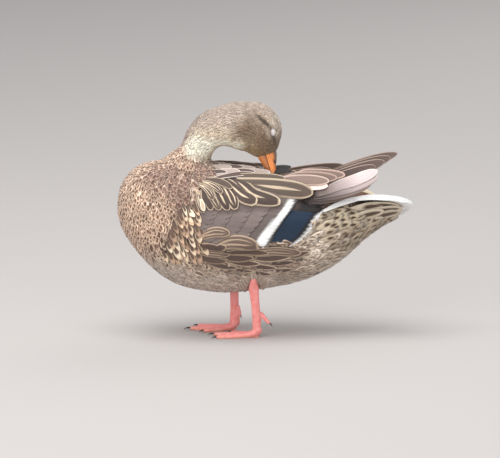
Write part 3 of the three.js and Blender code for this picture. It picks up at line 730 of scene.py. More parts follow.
def merged_copy(names, name):
    """One piece from copies of CAD nodes, with the vertices of their loose triangles merged."""
    copies = []
    for node in names:
        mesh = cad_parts[node].data.copy()
        mesh.materials.clear()
        copy = bpy.data.objects.new(f"{name}_{node}", mesh)
        bpy.context.scene.collection.objects.link(copy)
        copies.append(copy)
    select(*copies)
    if len(copies) > 1:
        bpy.ops.object.join()
    piece = copies[0]
    piece.name = piece.data.name = name
    bpy.ops.object.mode_set(mode="EDIT")
    bpy.ops.mesh.select_all(action="SELECT")
    bpy.ops.mesh.remove_doubles(threshold=1e-5)
    bpy.ops.mesh.customdata_custom_splitnormals_clear()
    bpy.ops.mesh.normals_make_consistent(inside=False)
    bpy.ops.object.mode_set(mode="OBJECT")
    bpy.ops.object.shade_smooth()
    return piece


def read_points(piece):
    """Vertices and normals of a piece, in millimetres."""
    flat = np.empty(len(piece.data.vertices) * 3)
    piece.data.vertices.foreach_get("co", flat)
    points = flat.reshape(-1, 3) / MM
    piece.data.vertices.foreach_get("normal", flat)
    return points, flat.reshape(-1, 3).copy()


def write_points(piece, points):
    piece.data.vertices.foreach_set("co", (points * MM).ravel())
    piece.data.update()


def paint(piece, colours, material):
    """Gives the vertices their colours, as the attribute that the material reads."""
    attribute = piece.data.attributes.new("ground", "FLOAT_COLOR", "POINT")
    attribute.data.foreach_set("color", np.hstack([colours, np.ones((len(colours), 1))]).ravel())
    piece.data.materials.append(material)


def blend(share, first, second):
    """Colours between the first and the second, by one share for each place."""
    share = np.clip(share, 0, 1)[:, None]
    return np.asarray(first) * (1 - share) + np.asarray(second) * share


def unit(vectors):
    return vectors / np.linalg.norm(vectors, axis=-1, keepdims=True)


# ---------------------------------------------------------------- settings

class HenSettings(bpy.types.PropertyGroup):
    """Sizes and colours that a user may change"""
    skin_grain: FloatProperty(
        name="Skin grain", description="Size of the skin's faces", default=0.0022, unit="LENGTH")
    feather_thickness: FloatProperty(
        name="Feather thickness", description="Thickness of a body feather", default=0.00022,
        unit="LENGTH")
    floor_colour: FloatVectorProperty(
        name="Floor", description="Colour of the floor", default=(0.47, 0.44, 0.42), size=3,
        subtype="COLOR", min=0, max=1)
    stage_light: FloatProperty(
        name="Studio light", description="Power of the light above the floor", default=70.0,
        unit="POWER")


# ---------------------------------------------------------------- skin

SKIN_SWELL = 0.9              # closes the thin cuts between the nodes before they become one
BUILD_SMOOTHING, LAST_SMOOTHING = 9, 4
SKIN_MARK = 0.4               # the share of the dark colour in the skin under the feathers


def skin_material(name):
    """Skin in the colours of the coat above it, with darker patches."""
    nodes = Nodes(name)
    patches = nodes.noise(nodes.place(), 260.0, 5.0, 0.6)
    cover = nodes.step(patches, 0.3, 0.7, 0.0, 0.2)
    nodes.colour(nodes.mix(cover, nodes.attribute("ground", "Color"), srgb(70, 56, 46)))
    nodes.bump(patches, 0.4, 0.0006)
    nodes.set(Roughness=0.85, Sheen_Weight=0.1)
    return nodes.material


class HEN_OT_skin(bpy.types.Operator):
    """Join the body, neck, head and thighs into one skin that lies inside the coat"""
    bl_idname = "hen.skin"
    bl_label = "Skin"

    def execute(self, context):
        skin = merged_copy(FLESH + WING_BED, "skin")
        modify(skin, "DISPLACE", strength=SKIN_SWELL * MM, mid_level=0.0)
        remesh(skin, context.scene.hen.skin_grain, BUILD_SMOOTHING)
        points, normals = read_points(skin)
        numbers, ground, mark, _ = coat_at(points)
        write_points(skin, points - normals * (numbers["depth"] + SKIN_SWELL)[:, None])
        modify(skin, "SMOOTH", factor=0.5, iterations=LAST_SMOOTHING)
        paint(skin, ground * (1 - SKIN_MARK) + mark * SKIN_MARK, skin_material("skin"))
        finish_piece(skin, FLESH)
        return {"FINISHED"}


# ---------------------------------------------------------------- coat

# The part of each side that the folded wing covers, where no coat is needed, in [y, z], and how far
# out it begins.
WING_OUTLINE = np.array([
    [-84, 158], [-30, 176], [40, 186], [62, 172], [58, 154], [47, 140], [36, 128], [24, 121], [-8, 120],
    [-40, 116], [-68, 124], [-86, 138]], dtype=float)
WING_INNER_X = 26
TRUNK_END_Y = 144.0           # behind it, only the long coverts below the tail cover the body
# No feather is rooted nearer than "clear" to the middle line of the bill, from "start" along it.
BILL_ROOM = {"start": 1.0, "clear": 9.0}
# Room for the eyes, against the eyeball's radius or in millimetres: how near a root or a tip comes, how
# much less a distance along the head counts, how far off feathers are still cut short and how short at
# most, and how deep and how far from the eye a root may not lie.
EYE_ROOM = {"bare": 0.82, "along": 0.45, "reach": 14, "shortest": 1.2, "depth": 1.3, "socket": 8}
# Feathers take their looks from places that stray from their roots: by this much for each millimetre
# that the spacing is above the least one.
STRAY, STRAY_FROM = 0.9, 1.2
WANDER = 0.14                 # how far feathers turn out of the lie of the coat, as an angle
# How uneven the feathers of the coat are: the spread of each measure against its mean, and of the roll
# about the shaft as an angle.
UNEVEN = {"length": 0.08, "half": 0.08, "outline": 0.07, "lift": 0.12, "roll": 0.1, "tip": 0.02,
          "tone": 0.1}
# The form of those feathers: height over the skin at the root, how early they rise, how much they curl
# down and back towards their sides, and how slender the tip of the marking is.
FORM = {"root": 0.25, "rise": 0.85, "curl": 0.055, "back": 0.16, "slender": 2.6}
PATCH, PATCH_SPAN = 0.003, 0.99               # of a feather and of the whole coat, on the UV map
# The axes that the skin is unrolled about, in [x, z], and the height that parts neck from body.
TRUNK_AXIS, NECK_AXIS, NECK_FROM_Z = (0, 135), (5, 250), 200


def inside_outline(y, z, corners):
    """Whether points lie inside a closed outline, by counting the sides that a ray crosses."""
    inside = np.zeros(len(y), dtype=bool)
    for (y0, z0), (y1, z1) in zip(corners, np.roll(corners, -1, axis=0)):
        crosses = (z0 > z) != (z1 > z)
        at = y0 + (z - z0) / (z1 - z0 + 1e-12) * (y1 - y0)
        inside ^= crosses & (y < at)
    return inside


def walk(surface, roots, normals, lengths, rows, rng):
    """Centre lines of feathers that follow the comb over the surface from their roots."""
    turn = rng.normal(0, WANDER, len(roots))[:, None]
    places, ways, ups = [roots], [], [normals]
    spot, normal = roots, normals
    for _ in range(rows - 1):
        way = combed(spot, normal)
        across = np.cross(normal, way)
        way = way * np.cos(turn) + across * np.sin(turn)
        ways.append(way)
        spot, normal = surface.nearest(spot + way * (lengths / (rows - 1))[:, None])
        places.append(spot)
        ups.append(normal)
    ways.append(ways[-1])
    return np.stack(places, 1), np.stack(ways, 1), np.stack(ups, 1)


def left_bare(roots):
    """Whether each root lies under a wing, behind the trunk or at the bill, where no feather grows."""
    x, y, z = roots.T
    at_wing = inside_outline(y, z, WING_OUTLINE) & (np.abs(x) > WING_INNER_X)
    along = (roots - BILL_BASE) @ BILL_ALONG
    from_axis = np.linalg.norm(roots - BILL_BASE - along[:, None] * BILL_ALONG, axis=1)
    at_bill = (along > BILL_ROOM["start"]) & (from_axis < BILL_ROOM["clear"])
    return at_wing | (y > TRUNK_END_Y) | at_bill


def kept_from_eyes(roots, normals, lengths):
    """Lengths cut short where feathers would reach over an eye, and whether roots lie at one."""
    clear = EYE["radius"] * EYE_ROOM["bare"]
    at_eye = np.zeros(len(roots), dtype=bool)
    ways = combed(roots, normals)
    for side in (LEFT, RIGHT):
        spot, forward, out, _ = eye_frame(side)
        gap = spot - roots
        away = np.sqrt((gap ** 2).sum(axis=1) - EYE_ROOM["along"] * (gap @ forward) ** 2)
        ahead = (gap * ways).sum(axis=1)
        aside = np.sqrt(np.maximum(away ** 2 - ahead ** 2, 0))
        blocked = (ahead > 0) & (aside < clear) & (away < EYE_ROOM["reach"])
        lengths = np.where(blocked, np.clip(away - clear, EYE_ROOM["shortest"], lengths), lengths)
        at_eye |= (away < clear) | ((gap @ out > EYE_ROOM["depth"]) & (away < EYE_ROOM["socket"]))
    return lengths, at_eye


def coat_patches(roots):
    """A small patch for each feather, at its root's place on the skin unrolled about its axis."""
    x, z = TRUNK_AXIS if roots[:, 2].mean() < NECK_FROM_Z else NECK_AXIS
    flat = np.stack([roots[:, 1], np.arctan2(roots[:, 0] - x, roots[:, 2] - z)], axis=1)
    flat = (flat - flat.min(axis=0)) / np.ptp(flat, axis=0) * PATCH_SPAN + PATCH
    return np.hstack([flat, np.full((len(roots), 2), PATCH)])


class HEN_OT_coat(bpy.types.Operator):
    """Cover the skin with small feathers that follow the lie of the coat"""
    bl_idname = "hen.coat"
    bl_label = "Coat"

    def execute(self, context):
        rng = np.random.default_rng(SEED)
        surface = Surface(bpy.data.objects["skin"])
        roots, faces = scattered(surface, lambda at: coat_at(at)[0]["space"], rng)
        keep = ~left_bare(roots)
        roots, faces = roots[keep], faces[keep]
        normals = surface.normals_at(roots, faces)
        numbers, _, _, group = coat_at(roots)
        wide = np.maximum(numbers["space"] - STRAY_FROM, 0)[:, None]
        numbers, ground, mark, _ = coat_at(roots + rng.normal(0, STRAY, roots.shape) * wide)
        numbers["length"], at_eye = kept_from_eyes(roots, normals, numbers["length"])
        for index, name in enumerate(GROUPS):
            chosen = (group == index) & ~at_eye
            fine = name in FINE_GROUPS
            feathers = Feathers()
            self.lay(feathers, surface, roots[chosen], normals[chosen],
                     {key: value[chosen] for key, value in numbers.items()},
                     ground[chosen], mark[chosen], (4, 3) if fine else (6, 5), rng,
                     context.scene.hen.feather_thickness / MM)
            feathers.build(f"coat_{name}", body_feathers(), "plumage_head" if fine else "plumage_body")
        return {"FINISHED"}

    def lay(self, feathers, surface, roots, normals, numbers, ground, mark, size, rng, thick):
        """Lays feathers on their roots; "size" is the rows and columns of the grid of each."""
        count = len(roots)
        v, u = (np.linspace(*ends, number) for ends, number in zip(((0, 1), (-1, 1)), size))
        along = v[None, :, None]
        lengths = numbers["length"] * rng.normal(1, UNEVEN["length"], count)
        half = numbers["half"] * rng.normal(1, UNEVEN["half"], count)
        centre, ways, ups = walk(surface, roots, normals, lengths, size[0], rng)
        across = np.cross(ways, ups)
        share = outline(v)
        wide = half[:, None, None] * share[None, :, None] * u
        wide = wide * (1 + rng.normal(0, UNEVEN["outline"], (count, *size)))
        lift = numbers["lift"] * rng.normal(1, UNEVEN["lift"], count)
        roll = rng.normal(0, UNEVEN["roll"], count)
        height = FORM["root"] + lift[:, None, None] * along ** FORM["rise"]
        height = height + wide * roll[:, None, None] - wide ** 2 * FORM["curl"]
        uneven = rng.normal(0, UNEVEN["tip"], (count, *size)) * along
        back = (u ** 2 * FORM["back"] * along ** 3 + uneven) * lengths[:, None, None]
        grid = (centre[:, :, None] + across[:, :, None] * wide[..., None]
                + ups[:, :, None] * height[..., None] - ways[:, :, None] * back[..., None])
        tops = np.broadcast_to(ups[:, :, None], grid.shape)
        edge = edge_distance(u, v, share, FORM["slender"])
        tone = rng.normal(1, UNEVEN["tone"], (count, 1))
        shape = np.stack([numbers["rim"], numbers["start"], numbers["line"]], axis=1)
        feathers.add(grid, tops, thick, u, v, edge, ground * tone, mark * tone, shape,
                     coat_patches(roots), rng)


# ---------------------------------------------------------------- long feathers

def crowded(rows):
    """Shares from root to tip that lie closer together near the tip, where the outline is round."""
    return 1 - (1 - np.linspace(0, 1, rows)) ** 1.6


def along_line(corners, shares):
    """Places along a line through corners, at shares of its length."""
    corners = np.asarray(corners, dtype=float)
    steps = np.linalg.norm(np.diff(corners, axis=0), axis=1)
    marks = np.concatenate([[0], np.cumsum(steps)]) / steps.sum()
    return np.stack([np.interp(shares, marks, corners[:, k]) for k in range(corners.shape[1])], axis=1)


def curve_through(corners, shares):
    """Places on a smooth curve through a few corners."""
    corners = np.asarray(corners, dtype=float)
    padded = np.vstack([2 * corners[0] - corners[1], corners, 2 * corners[-1] - corners[-2]])
    place = np.asarray(shares) * (len(corners) - 1)
    i = np.clip(place.astype(int), 0, len(corners) - 2)
    t = (place - i)[:, None]
    a, b, c, d = (padded[i + k] for k in range(4))
    square, cube = 2 * a - 5 * b + 4 * c - d, 3 * b - a - 3 * c + d
    return 0.5 * (2 * b + (c - a) * t + square * t ** 2 + cube * t ** 3)


def atlas(count, margin=0.06):
    """Square patches side by side, one for each of many long feathers."""
    side = math.ceil(math.sqrt(count))
    index = np.arange(count)
    cell = 1.0 / side
    low = np.stack([index % side, index // side], axis=1) * cell + cell * margin
    return np.hstack([low, np.full((count, 2), cell * (1 - 2 * margin))])


BAND_SOFTNESS = 0.035         # of a feather's length
CROWN = 0.006                 # how fast a long feather falls away towards its sides


def painted(v, *bands):
    """Colours along a feather: each band is where it begins and its colour."""
    colours = np.tile(bands[0][1], (len(v), 1))
    for start, colour in bands:
        colours = blend((v - start) / BAND_SOFTNESS + 0.5, colours, colour)
    return colours


def look(ground, mark, rim, start=0.0, line=NO_LINE, **more):
    """The style of a feather, from screen colours and the shape of its marks."""
    return dict(ground=srgb(*ground), mark=srgb(*mark), shape=(rim, start, line), **more)


class LongFeathers(Feathers):
    """Long feathers of one piece, each with its own place, shape and markings."""

    def __init__(self, total, rng, size=(16, 9), thick=0.26):
        super().__init__()
        self.cells = atlas(total)
        self.rng = rng
        self.thick = thick
        self.v = crowded(size[0])
        self.u = np.linspace(-1, 1, size[1])
        self.used = 0

    def half_widths(self, style):
        """Half-widths along a feather of this style, against the greatest."""
        return rounded(self.v, style.get("tip", 2.4))

    def widths(self, half, style):
        """How far each place of the grid lies from the shaft."""
        return half * self.half_widths(style)[:, None] * self.u

    def place(self, grid, tops, slender, style):
        """Adds one feather from its grid; "style" holds its colours and the shape of its marks."""
        edge = edge_distance(self.u, self.v, self.half_widths(style), slender)
        ground, mark = (np.asarray(style[key], float) for key in ("ground", "mark"))
        colours = [np.broadcast_to(c[:, None] if c.ndim == 2 else c, (1, *grid.shape[:2], 3))
                   for c in (ground, mark)]
        self.add(grid[None], tops[None], self.thick, self.u, self.v, edge, *colours,
                 np.array([style["shape"]]), self.cells[self.used:self.used + 1], self.rng)
        self.used += 1

    def over(self, surface, corners, half, lift, style, tilt=0.0, slant=0.0):
        """Lays a feather over the surface, with its shaft through the corners; "lift" is its height
        at the root and at the tip, and "slant" is how far one edge lies further back than the other,
        against the width."""
        spots, ups = surface.nearest(curve_through(corners, self.v))
        ways = unit(np.gradient(spots, axis=0))
        across = np.cross(ways, ups)
        wide = self.widths(half, style)
        grid = (spots[:, None] + across[:, None] * wide[..., None]
                + ways[:, None] * (wide * slant)[..., None])
        ground, tops = surface.nearest(grid.reshape(-1, 3))
        tops = tops.reshape(grid.shape)
        height = (lift[0] + (lift[1] - lift[0]) * self.v)[:, None] + tilt * wide - CROWN * wide ** 2
        self.place(ground.reshape(grid.shape) + tops * height[..., None], tops,
                   np.linalg.norm(corners[-1] - corners[0]) / half, style)

    def along(self, corners, outward, half, style, height=0.0, aside=0.0, span=(0.0, 1.0)):
        """Lays a feather along a part of a curve; "aside" moves it across the curve past the root."""
        line = curve_through(corners, span[0] + (span[1] - span[0]) * self.v)
        ways = unit(np.gradient(line, axis=0))
        ups = unit(outward - ways * (ways @ outward)[:, None])
        across = np.cross(ways, ups)
        wide = self.widths(half, style)
        shift = wide + (aside * np.clip(self.v * 2.2 + 0.25, 0, 1))[:, None]
        level = height - CROWN * wide ** 2
        grid = line[:, None] + across[:, None] * shift[..., None] + ups[:, None] * level[..., None]
        length = np.linalg.norm(np.diff(line, axis=0), axis=1).sum()
        self.place(grid, np.broadcast_to(ups[:, None], grid.shape), length / half, style)


# ---------------------------------------------------------------- wings

BLUE = srgb(14, 38, 60)
BLACK = srgb(24, 20, 20)
WHITE = srgb(252, 251, 249)
UMBER = srgb(66, 54, 48)
PLAIN = look((140, 124, 118), (122, 108, 103), 0.2)
SHOULDER = look((248, 226, 198), (74, 58, 51), 0.2)
SHOULDER_STREAKED = dict(SHOULDER, shape=(0.2, 0.0, 0.95))
SHOULDER_LINED = dict(SHOULDER, shape=(0.18, 0.0, 0.62))
BACK = look((252, 240, 230), (176, 158, 149), 0.24)
BACK_DARK = dict(BACK, mark=srgb(88, 70, 64))
FLANK = look((206, 182, 157), (104, 85, 75), 0.24, 0.0, 0.66)
FLANK_DARK = look((192, 167, 142), (84, 66, 58), 0.26, tip=1.8)
FLANK_FINE = look((202, 180, 158), (82, 65, 57), 0.34, tip=1.4)
CREAMY = look((252, 238, 216), (206, 180, 152), 0.5, 0.2)
# Painted shade: the lifted feathers are near-black for the gap under them.
LIFTED_IN_SHADE = dict(SHOULDER, ground=UMBER, mark=BLACK)
SLIM_RIM = (0.03, 0.0, NO_LINE)


# Rows of wing feathers: the lines in [y, z] along which their roots and their tips lie, from the top
# feather down, how many there are, half-width, and height above the skin at the root and the tip.
WING_ROWS = {
    "secondaries": dict(
        roots=[[20, 172], [4, 150], [-22, 124]],
        tips=[[72, 166], [67, 155], [58, 141], [49, 129], [38, 121], [26, 117]],
        count=15, half=7.5, lift=(0.8, 1.4), slant=0.9),
    "greater": dict(
        roots=[[-4, 178], [-20, 158], [-50, 122]],
        tips=[[41, 176], [34, 162], [22, 147], [11, 132], [4, 119]],
        count=16, half=7.0, lift=(1.4, 2.2), slant=0.85),
    "median": dict(
        roots=[[-26, 178], [-42, 152], [-64, 124]],
        tips=[[14, 176], [2, 156], [-20, 130], [-26, 120]],
        count=10, half=9.0, lift=(1.9, 2.9), slant=0.3),
    "rear": dict(
        roots=[[-44, 176], [-56, 150], [-76, 128]],
        tips=[[-8, 174], [-20, 152], [-42, 122]],
        count=10, half=8.5, lift=(2.2, 3.3), slant=0.3),
    "middle": dict(
        roots=[[-62, 172], [-70, 152], [-86, 136]],
        tips=[[-30, 172], [-42, 150], [-60, 126]],
        count=9, half=8.0, lift=(2.4, 3.5), slant=0.3),
    "front": dict(
        roots=[[-76, 170], [-84, 156], [-94, 144]],
        tips=[[-50, 170], [-60, 150], [-74, 130]],
        count=8, half=7.5, lift=(2.4, 3.5), slant=0.3),
}
SQUARE = 40.0                 # the "tip" of feathers that end almost square
# The top secondaries are dark: partly their own colour, partly painted shade where the tertials lie over
# them.
SHADED_DARK_SECONDARIES = 3          # the top ones, without blue
ROW_TILT = 0.05               # each feather of a row is rolled, so that it lies over the next one

# Shoulder feathers, the lowest first: the corners of the shaft in [y, z], half-width, height above
# the skin at the root and the tip, and style.
SCAPULARS = [
    ([[-45, 194], [-29, 186], [-13, 174], [17, 167]], 10.5, (3.4, 5.4), SHOULDER_STREAKED),
    ([[-52, 193], [-40, 184], [-27, 174], [-10, 168]], 8.8, (3.8, 5.7), SHOULDER_STREAKED),
    ([[-58, 192], [-47, 182], [-40, 172], [-35, 161]], 7.4, (4.0, 5.9), SHOULDER_LINED),
    ([[-64, 190], [-57, 180], [-50, 170], [-44, 160]], 6.6, (4.1, 6.0), SHOULDER_STREAKED),
    ([[-70, 186], [-65, 177], [-59, 169], [-54, 160]], 5.8, (4.1, 5.9), SHOULDER_LINED),
    ([[-75, 182], [-72, 174], [-67, 167], [-64, 160]], 5.2, (4.0, 5.8), SHOULDER),
    ([[-80, 176], [-79, 169], [-76, 163], [-73, 157]], 4.6, (4.0, 5.6), SHOULDER_LINED),
    ([[-70, 192], [-58, 190], [-48, 186], [-40, 181]], 4.8, (4.4, 6.4), SHOULDER),
    ([[-76, 190], [-66, 187], [-58, 182], [-52, 176]], 4.5, (4.4, 6.4), SHOULDER_LINED),
    ([[-80, 187], [-72, 183], [-66, 177], [-62, 171]], 4.2, (4.4, 6.2), SHOULDER_LINED),
    ([[-63, 192], [-46, 194], [-31, 195], [-14, 195]], 4.8, (4.4, 6.4), BACK_DARK),
]
# The longest shoulder feathers, which are too stiff to follow the back: their curves in [x, y, z] for
# the left side, half-width, outward direction in [x, z], and style.
STIFF = [
    ([[17, -40, 205.5], [17, -27, 205.5], [17, -12, 204]], 4.4, (0.42, 0.91), BACK),
    ([[19, -54, 206], [19, -41, 206.5], [19, -26, 205.5]], 4.4, (0.45, 0.89), BACK_DARK),
    ([[21, -67, 206], [21, -54, 206.5], [21, -40, 206]], 4.2, (0.5, 0.87), BACK),
    ([[26, -28, 202], [27, -12, 202], [27, 6, 200.5]], 4.6, (0.6, 0.8), BACK),
    ([[28, -44, 202.5], [29, -29, 202.5], [29, -12, 201.5]], 4.6, (0.62, 0.78), BACK_DARK),
    ([[29, -59, 202], [30, -45, 202.5], [31, -30, 202]], 4.4, (0.65, 0.76), BACK),
    ([[30, -72, 200.5], [31, -59, 201.5], [32, -46, 201.5]], 4.2, (0.68, 0.73), BACK_DARK),
    ([[35, -66, 196.5], [36, -52, 197.5], [37, -38, 197.5]], 4.4, (0.75, 0.66), BACK),
    ([[42, -35, 191], [46, -4, 187], [47, 30, 183], [44, 57, 178]], 11.5, (0.93, 0.37),
     SHOULDER_STREAKED),
    ([[35, -45, 197], [38, -20, 197.5], [39, 2, 196.5], [37, 24, 195]], 5.4, (0.75, 0.66), SHOULDER),
    ([[37, -58, 192], [40, -42, 192.5], [41, -27, 192], [42, -10, 189]], 5.0, (0.85, 0.53), BACK),
]
# Feathers of the flank that lie over the lower edge of the wing, in the way of the shoulder.
FLANK_FEATHERS = [
    ([[-30, 86], [-12, 84], [8, 82]], 3.6, (1.2, 2.2), FLANK_FINE),
    ([[-2, 88], [16, 86], [34, 88]], 3.6, (1.2, 2.2), FLANK_FINE),
    ([[-52, 92], [-34, 88], [-14, 86]], 3.8, (1.3, 2.4), FLANK_FINE),
    ([[-28, 94], [-8, 92], [14, 90]], 4.2, (1.4, 2.6), FLANK_FINE),
    ([[-6, 98], [14, 96], [36, 98]], 4.0, (1.5, 2.6), FLANK_FINE),
    ([[-70, 97], [-52, 93], [-32, 91]], 4.2, (1.6, 2.8), FLANK_FINE),
    ([[-48, 100], [-28, 97], [-6, 96]], 4.6, (1.7, 3.0), FLANK_FINE),
    ([[-20, 103], [4, 102], [30, 104]], 4.6, (1.8, 3.0), FLANK_FINE),
    ([[14, 104], [34, 105], [52, 109]], 4.2, (1.8, 3.0), FLANK_FINE),
    ([[-84, 106], [-66, 101], [-46, 99]], 4.8, (2.0, 3.4), FLANK_DARK),
    ([[-60, 107], [-38, 103], [-14, 103]], 5.2, (2.1, 3.4), FLANK_DARK),
    ([[-24, 110], [10, 112], [42, 108]], 6.8, (2.4, 3.8), FLANK),
    ([[-86, 112], [-66, 109], [-42, 108]], 5.2, (2.4, 3.8), FLANK),
    ([[-50, 112], [-24, 112], [4, 109]], 5.6, (2.5, 4.0), FLANK_DARK),
    ([[-66, 116], [-38, 123], [-9, 119]], 8.5, (2.8, 5.0), FLANK),
    ([[-88, 120], [-68, 118], [-46, 117]], 5.4, (2.8, 4.6), FLANK_DARK),
    ([[-84, 125], [-62, 134], [-42, 133]], 6.6, (2.8, 5.0), FLANK),
]
# Bold feathers that hang over the front of the wing, in rows from below: how many feathers the rows
# have, the [y, z] of the first root, the steps to the next one and to the next row, and one shaft.
BOLD_ROWS = {"counts": (7, 7, 6, 6, 5, 4, 4, 3), "first": np.array([-122, 112]),
             "step": np.array([6.4, 0.5]), "row_step": np.array([3.2, 7.8]), "half": 3.2,
             "shaft": np.array([[0, 0], [3, -7], [7, -15]]), "lift": (2.8, 4.6)}
BOLD_BASE = srgb(98, 76, 64)
BOLD_TIPS = [srgb(*tip) for tip in (
    (250, 230, 202), (222, 188, 158), (238, 212, 182), (196, 164, 138), (176, 146, 122))]
CREAM_SPOT = ([[-77, 172], [-75, 166], [-73, 159]], 3.0, (5.0, 7.0), CREAMY)
# Feathers of the back that the bill has lifted, painted near-black as the shade in the gap that it opens:
# their curves in [x, y, z] and half-widths.
LIFTED = [
    ([[16, 0, 196], [15, 16, 200], [14, 33, 200]], 4.0),
    ([[10, 2, 197], [9, 15, 202.5], [8, 29, 203]], 4.5),
    ([[3, 0, 197], [1, 14, 202], [-1, 31, 203]], 4.5),
]


def row_style(name, index, count, v, rng):
    """Colours and marks of one feather of a row."""
    if name == "secondaries" and index < SHADED_DARK_SECONDARIES:
        # Their own dark brown, with painted shade of the tertials above.
        mark = painted(v, (0.0, UMBER), (0.5, BLACK), (0.97, UMBER))
        return dict(ground=UMBER, mark=mark, shape=SLIM_RIM, tip=3.5)
    if name == "secondaries":
        blue = painted(v, (0.0, UMBER), (0.3, BLUE), (0.85, BLACK), (0.94, WHITE))
        return dict(ground=blue, mark=blue, shape=SLIM_RIM, tip=SQUARE)
    if name == "greater":
        bar = 0.12 + 0.16 * index / count
        bands = [painted(v, (0.0, tone), (0.6 - bar, tone * 0.8), (0.94 - bar, WHITE), (0.955, BLACK))
                 for tone in (PLAIN["ground"], PLAIN["mark"])]
        return dict(PLAIN, ground=bands[0], mark=bands[1], tip=SQUARE)
    shade = rng.normal(1, 0.035)
    return dict(PLAIN, ground=PLAIN["ground"] * shade, mark=PLAIN["mark"] * shade, tip=2.6)


def lay_table(feathers, surface, table, side):
    """Lays feathers that are listed one by one."""
    for corners, half, lift, style in table:
        shaft = np.array([surface.from_side(*corner, side) for corner in corners])
        feathers.over(surface, shaft, half, lift, style, side * 0.03)


def bold_feathers(v, rng):
    """The table of the bold feathers in front of the wing, and the cream one above them."""
    styles = [dict(ground=painted(v, (0.0, BOLD_BASE), (0.3, 0.5 * tip), (0.4, 0.75 * tip), (0.5, tip)),
                   mark=painted(v, (0.0, BOLD_BASE), (0.68, (BOLD_BASE + tip) / 2), (0.76, tip)),
                   shape=(0.4, 0.0, NO_LINE), tip=1.5)
              for tip in BOLD_TIPS]
    table = []
    for row, count in enumerate(BOLD_ROWS["counts"]):
        for index in range(count):
            root = BOLD_ROWS["first"] + BOLD_ROWS["step"] * (index + row % 2 / 2)
            root = root + BOLD_ROWS["row_step"] * row
            shaft = root + rng.normal(0, 1.2, 2) + BOLD_ROWS["shaft"] * rng.normal(1, 0.12)
            table.append((shaft, BOLD_ROWS["half"] * rng.normal(1, 0.14), BOLD_ROWS["lift"],
                          styles[rng.integers(len(styles))]))
    return table + [CREAM_SPOT]


class HEN_OT_wings(bpy.types.Operator):
    """Lay the rows of feathers of the folded wings, and the shoulder and flank feathers over them"""
    bl_idname = "hen.wings"
    bl_label = "Wings"

    def execute(self, context):
        rng = np.random.default_rng(SEED + 1)
        surface = Surface(bpy.data.objects["skin"])
        for word, side in SIDES:
            self.rows(surface, word, side, rng)
            self.shoulder(surface, word, side, rng)
            self.flank(surface, word, side, rng)
        return {"FINISHED"}

    def rows(self, surface, word, side, rng):
        """The rows of coverts, and the secondaries with the blue patch."""
        total = sum(row["count"] for row in WING_ROWS.values())
        coverts = LongFeathers(total, rng, (15, 7))
        secondaries = LongFeathers(WING_ROWS["secondaries"]["count"], rng, (18, 7))
        for name, row in WING_ROWS.items():
            piece = secondaries if name == "secondaries" else coverts
            shares = np.linspace(0, 1, row["count"])
            roots, tips = (along_line(row[end], shares) for end in ("roots", "tips"))
            for index in range(row["count"]):
                style = row_style(name, index, row["count"], piece.v, rng)
                shaft = np.array([surface.from_side(*end[index], side) for end in (roots, tips)])
                piece.over(surface, shaft, row["half"], row["lift"], style, side * ROW_TILT,
                           -side * row["slant"])
        coverts.build(f"coverts_{word}", wing_feathers(), "plumage_wing", [f"wing_{word}_coverts"])
        secondaries.build(
            f"secondaries_{word}", speculum_feathers(), "speculum", [f"wing_{word}_secondaries"])

    def shoulder(self, surface, word, side, rng):
        """The shoulder feathers, and on the left those of the back that the bill has lifted."""
        feathers = LongFeathers(len(SCAPULARS) + len(STIFF) + len(LIFTED), rng, (18, 11))
        lay_table(feathers, surface, SCAPULARS, side)
        for corners, half, (out, up), style in STIFF:
            outward = np.array([side * out, 0.0, up])
            feathers.along(np.array(corners) * [side, 1, 1], outward, half, style)
        if side == LEFT:
            for corners, half in LIFTED:
                feathers.along(corners, np.array([0.5, 0.0, 0.85]), half, LIFTED_IN_SHADE)
        feathers.build(f"shoulder_{word}", wing_feathers(), "plumage_wing", [f"scapulars_{word}"])

    def flank(self, surface, word, side, rng):
        """The feathers over the lower edge of the wing, and the bold ones over its front."""
        bold_count = sum(BOLD_ROWS["counts"]) + 1
        feathers = LongFeathers(len(FLANK_FEATHERS) + bold_count, rng, (16, 9))
        lay_table(feathers, surface, FLANK_FEATHERS + bold_feathers(feathers.v, rng), side)
        feathers.build(f"flank_{word}", wing_feathers(), "plumage_body")


TERTIAL = look((228, 203, 190), (134, 112, 102), 0.22)
TERTIAL_PALE = look((255, 236, 226), (240, 212, 202), 0.3)
# The far wing is painted darker than the near one for the shade it lies in: this is a shaded copy of the
# tertials.
TERTIAL_FAR_SHADED = look((214, 194, 182), (124, 106, 98), 0.22)
TERTIAL_DUSKY = look((196, 170, 157), (120, 98, 88), 0.3)
# Painted shade: the far primaries are a darker copy of the near ones.
PRIMARY_FAR_SHADED = look((220, 197, 182), (132, 115, 109), 0.13)
# The four shades of the near primaries, from the lowest: the edge, and the middle at its root and tip.
# They are painted light and shade: the upper feathers and the tips are lighter where light falls on the
# near wing, and the lower feathers and the roots are darker where shade falls.
PRIMARY_LIT_SHADES = [
    ((150, 128, 116), (44, 36, 33), (84, 69, 62)), ((190, 170, 160), (48, 39, 36), (138, 120, 113)),
    ((230, 212, 206), (70, 58, 54), (190, 173, 170)), ((255, 240, 228), (120, 104, 98), (226, 208, 205))]
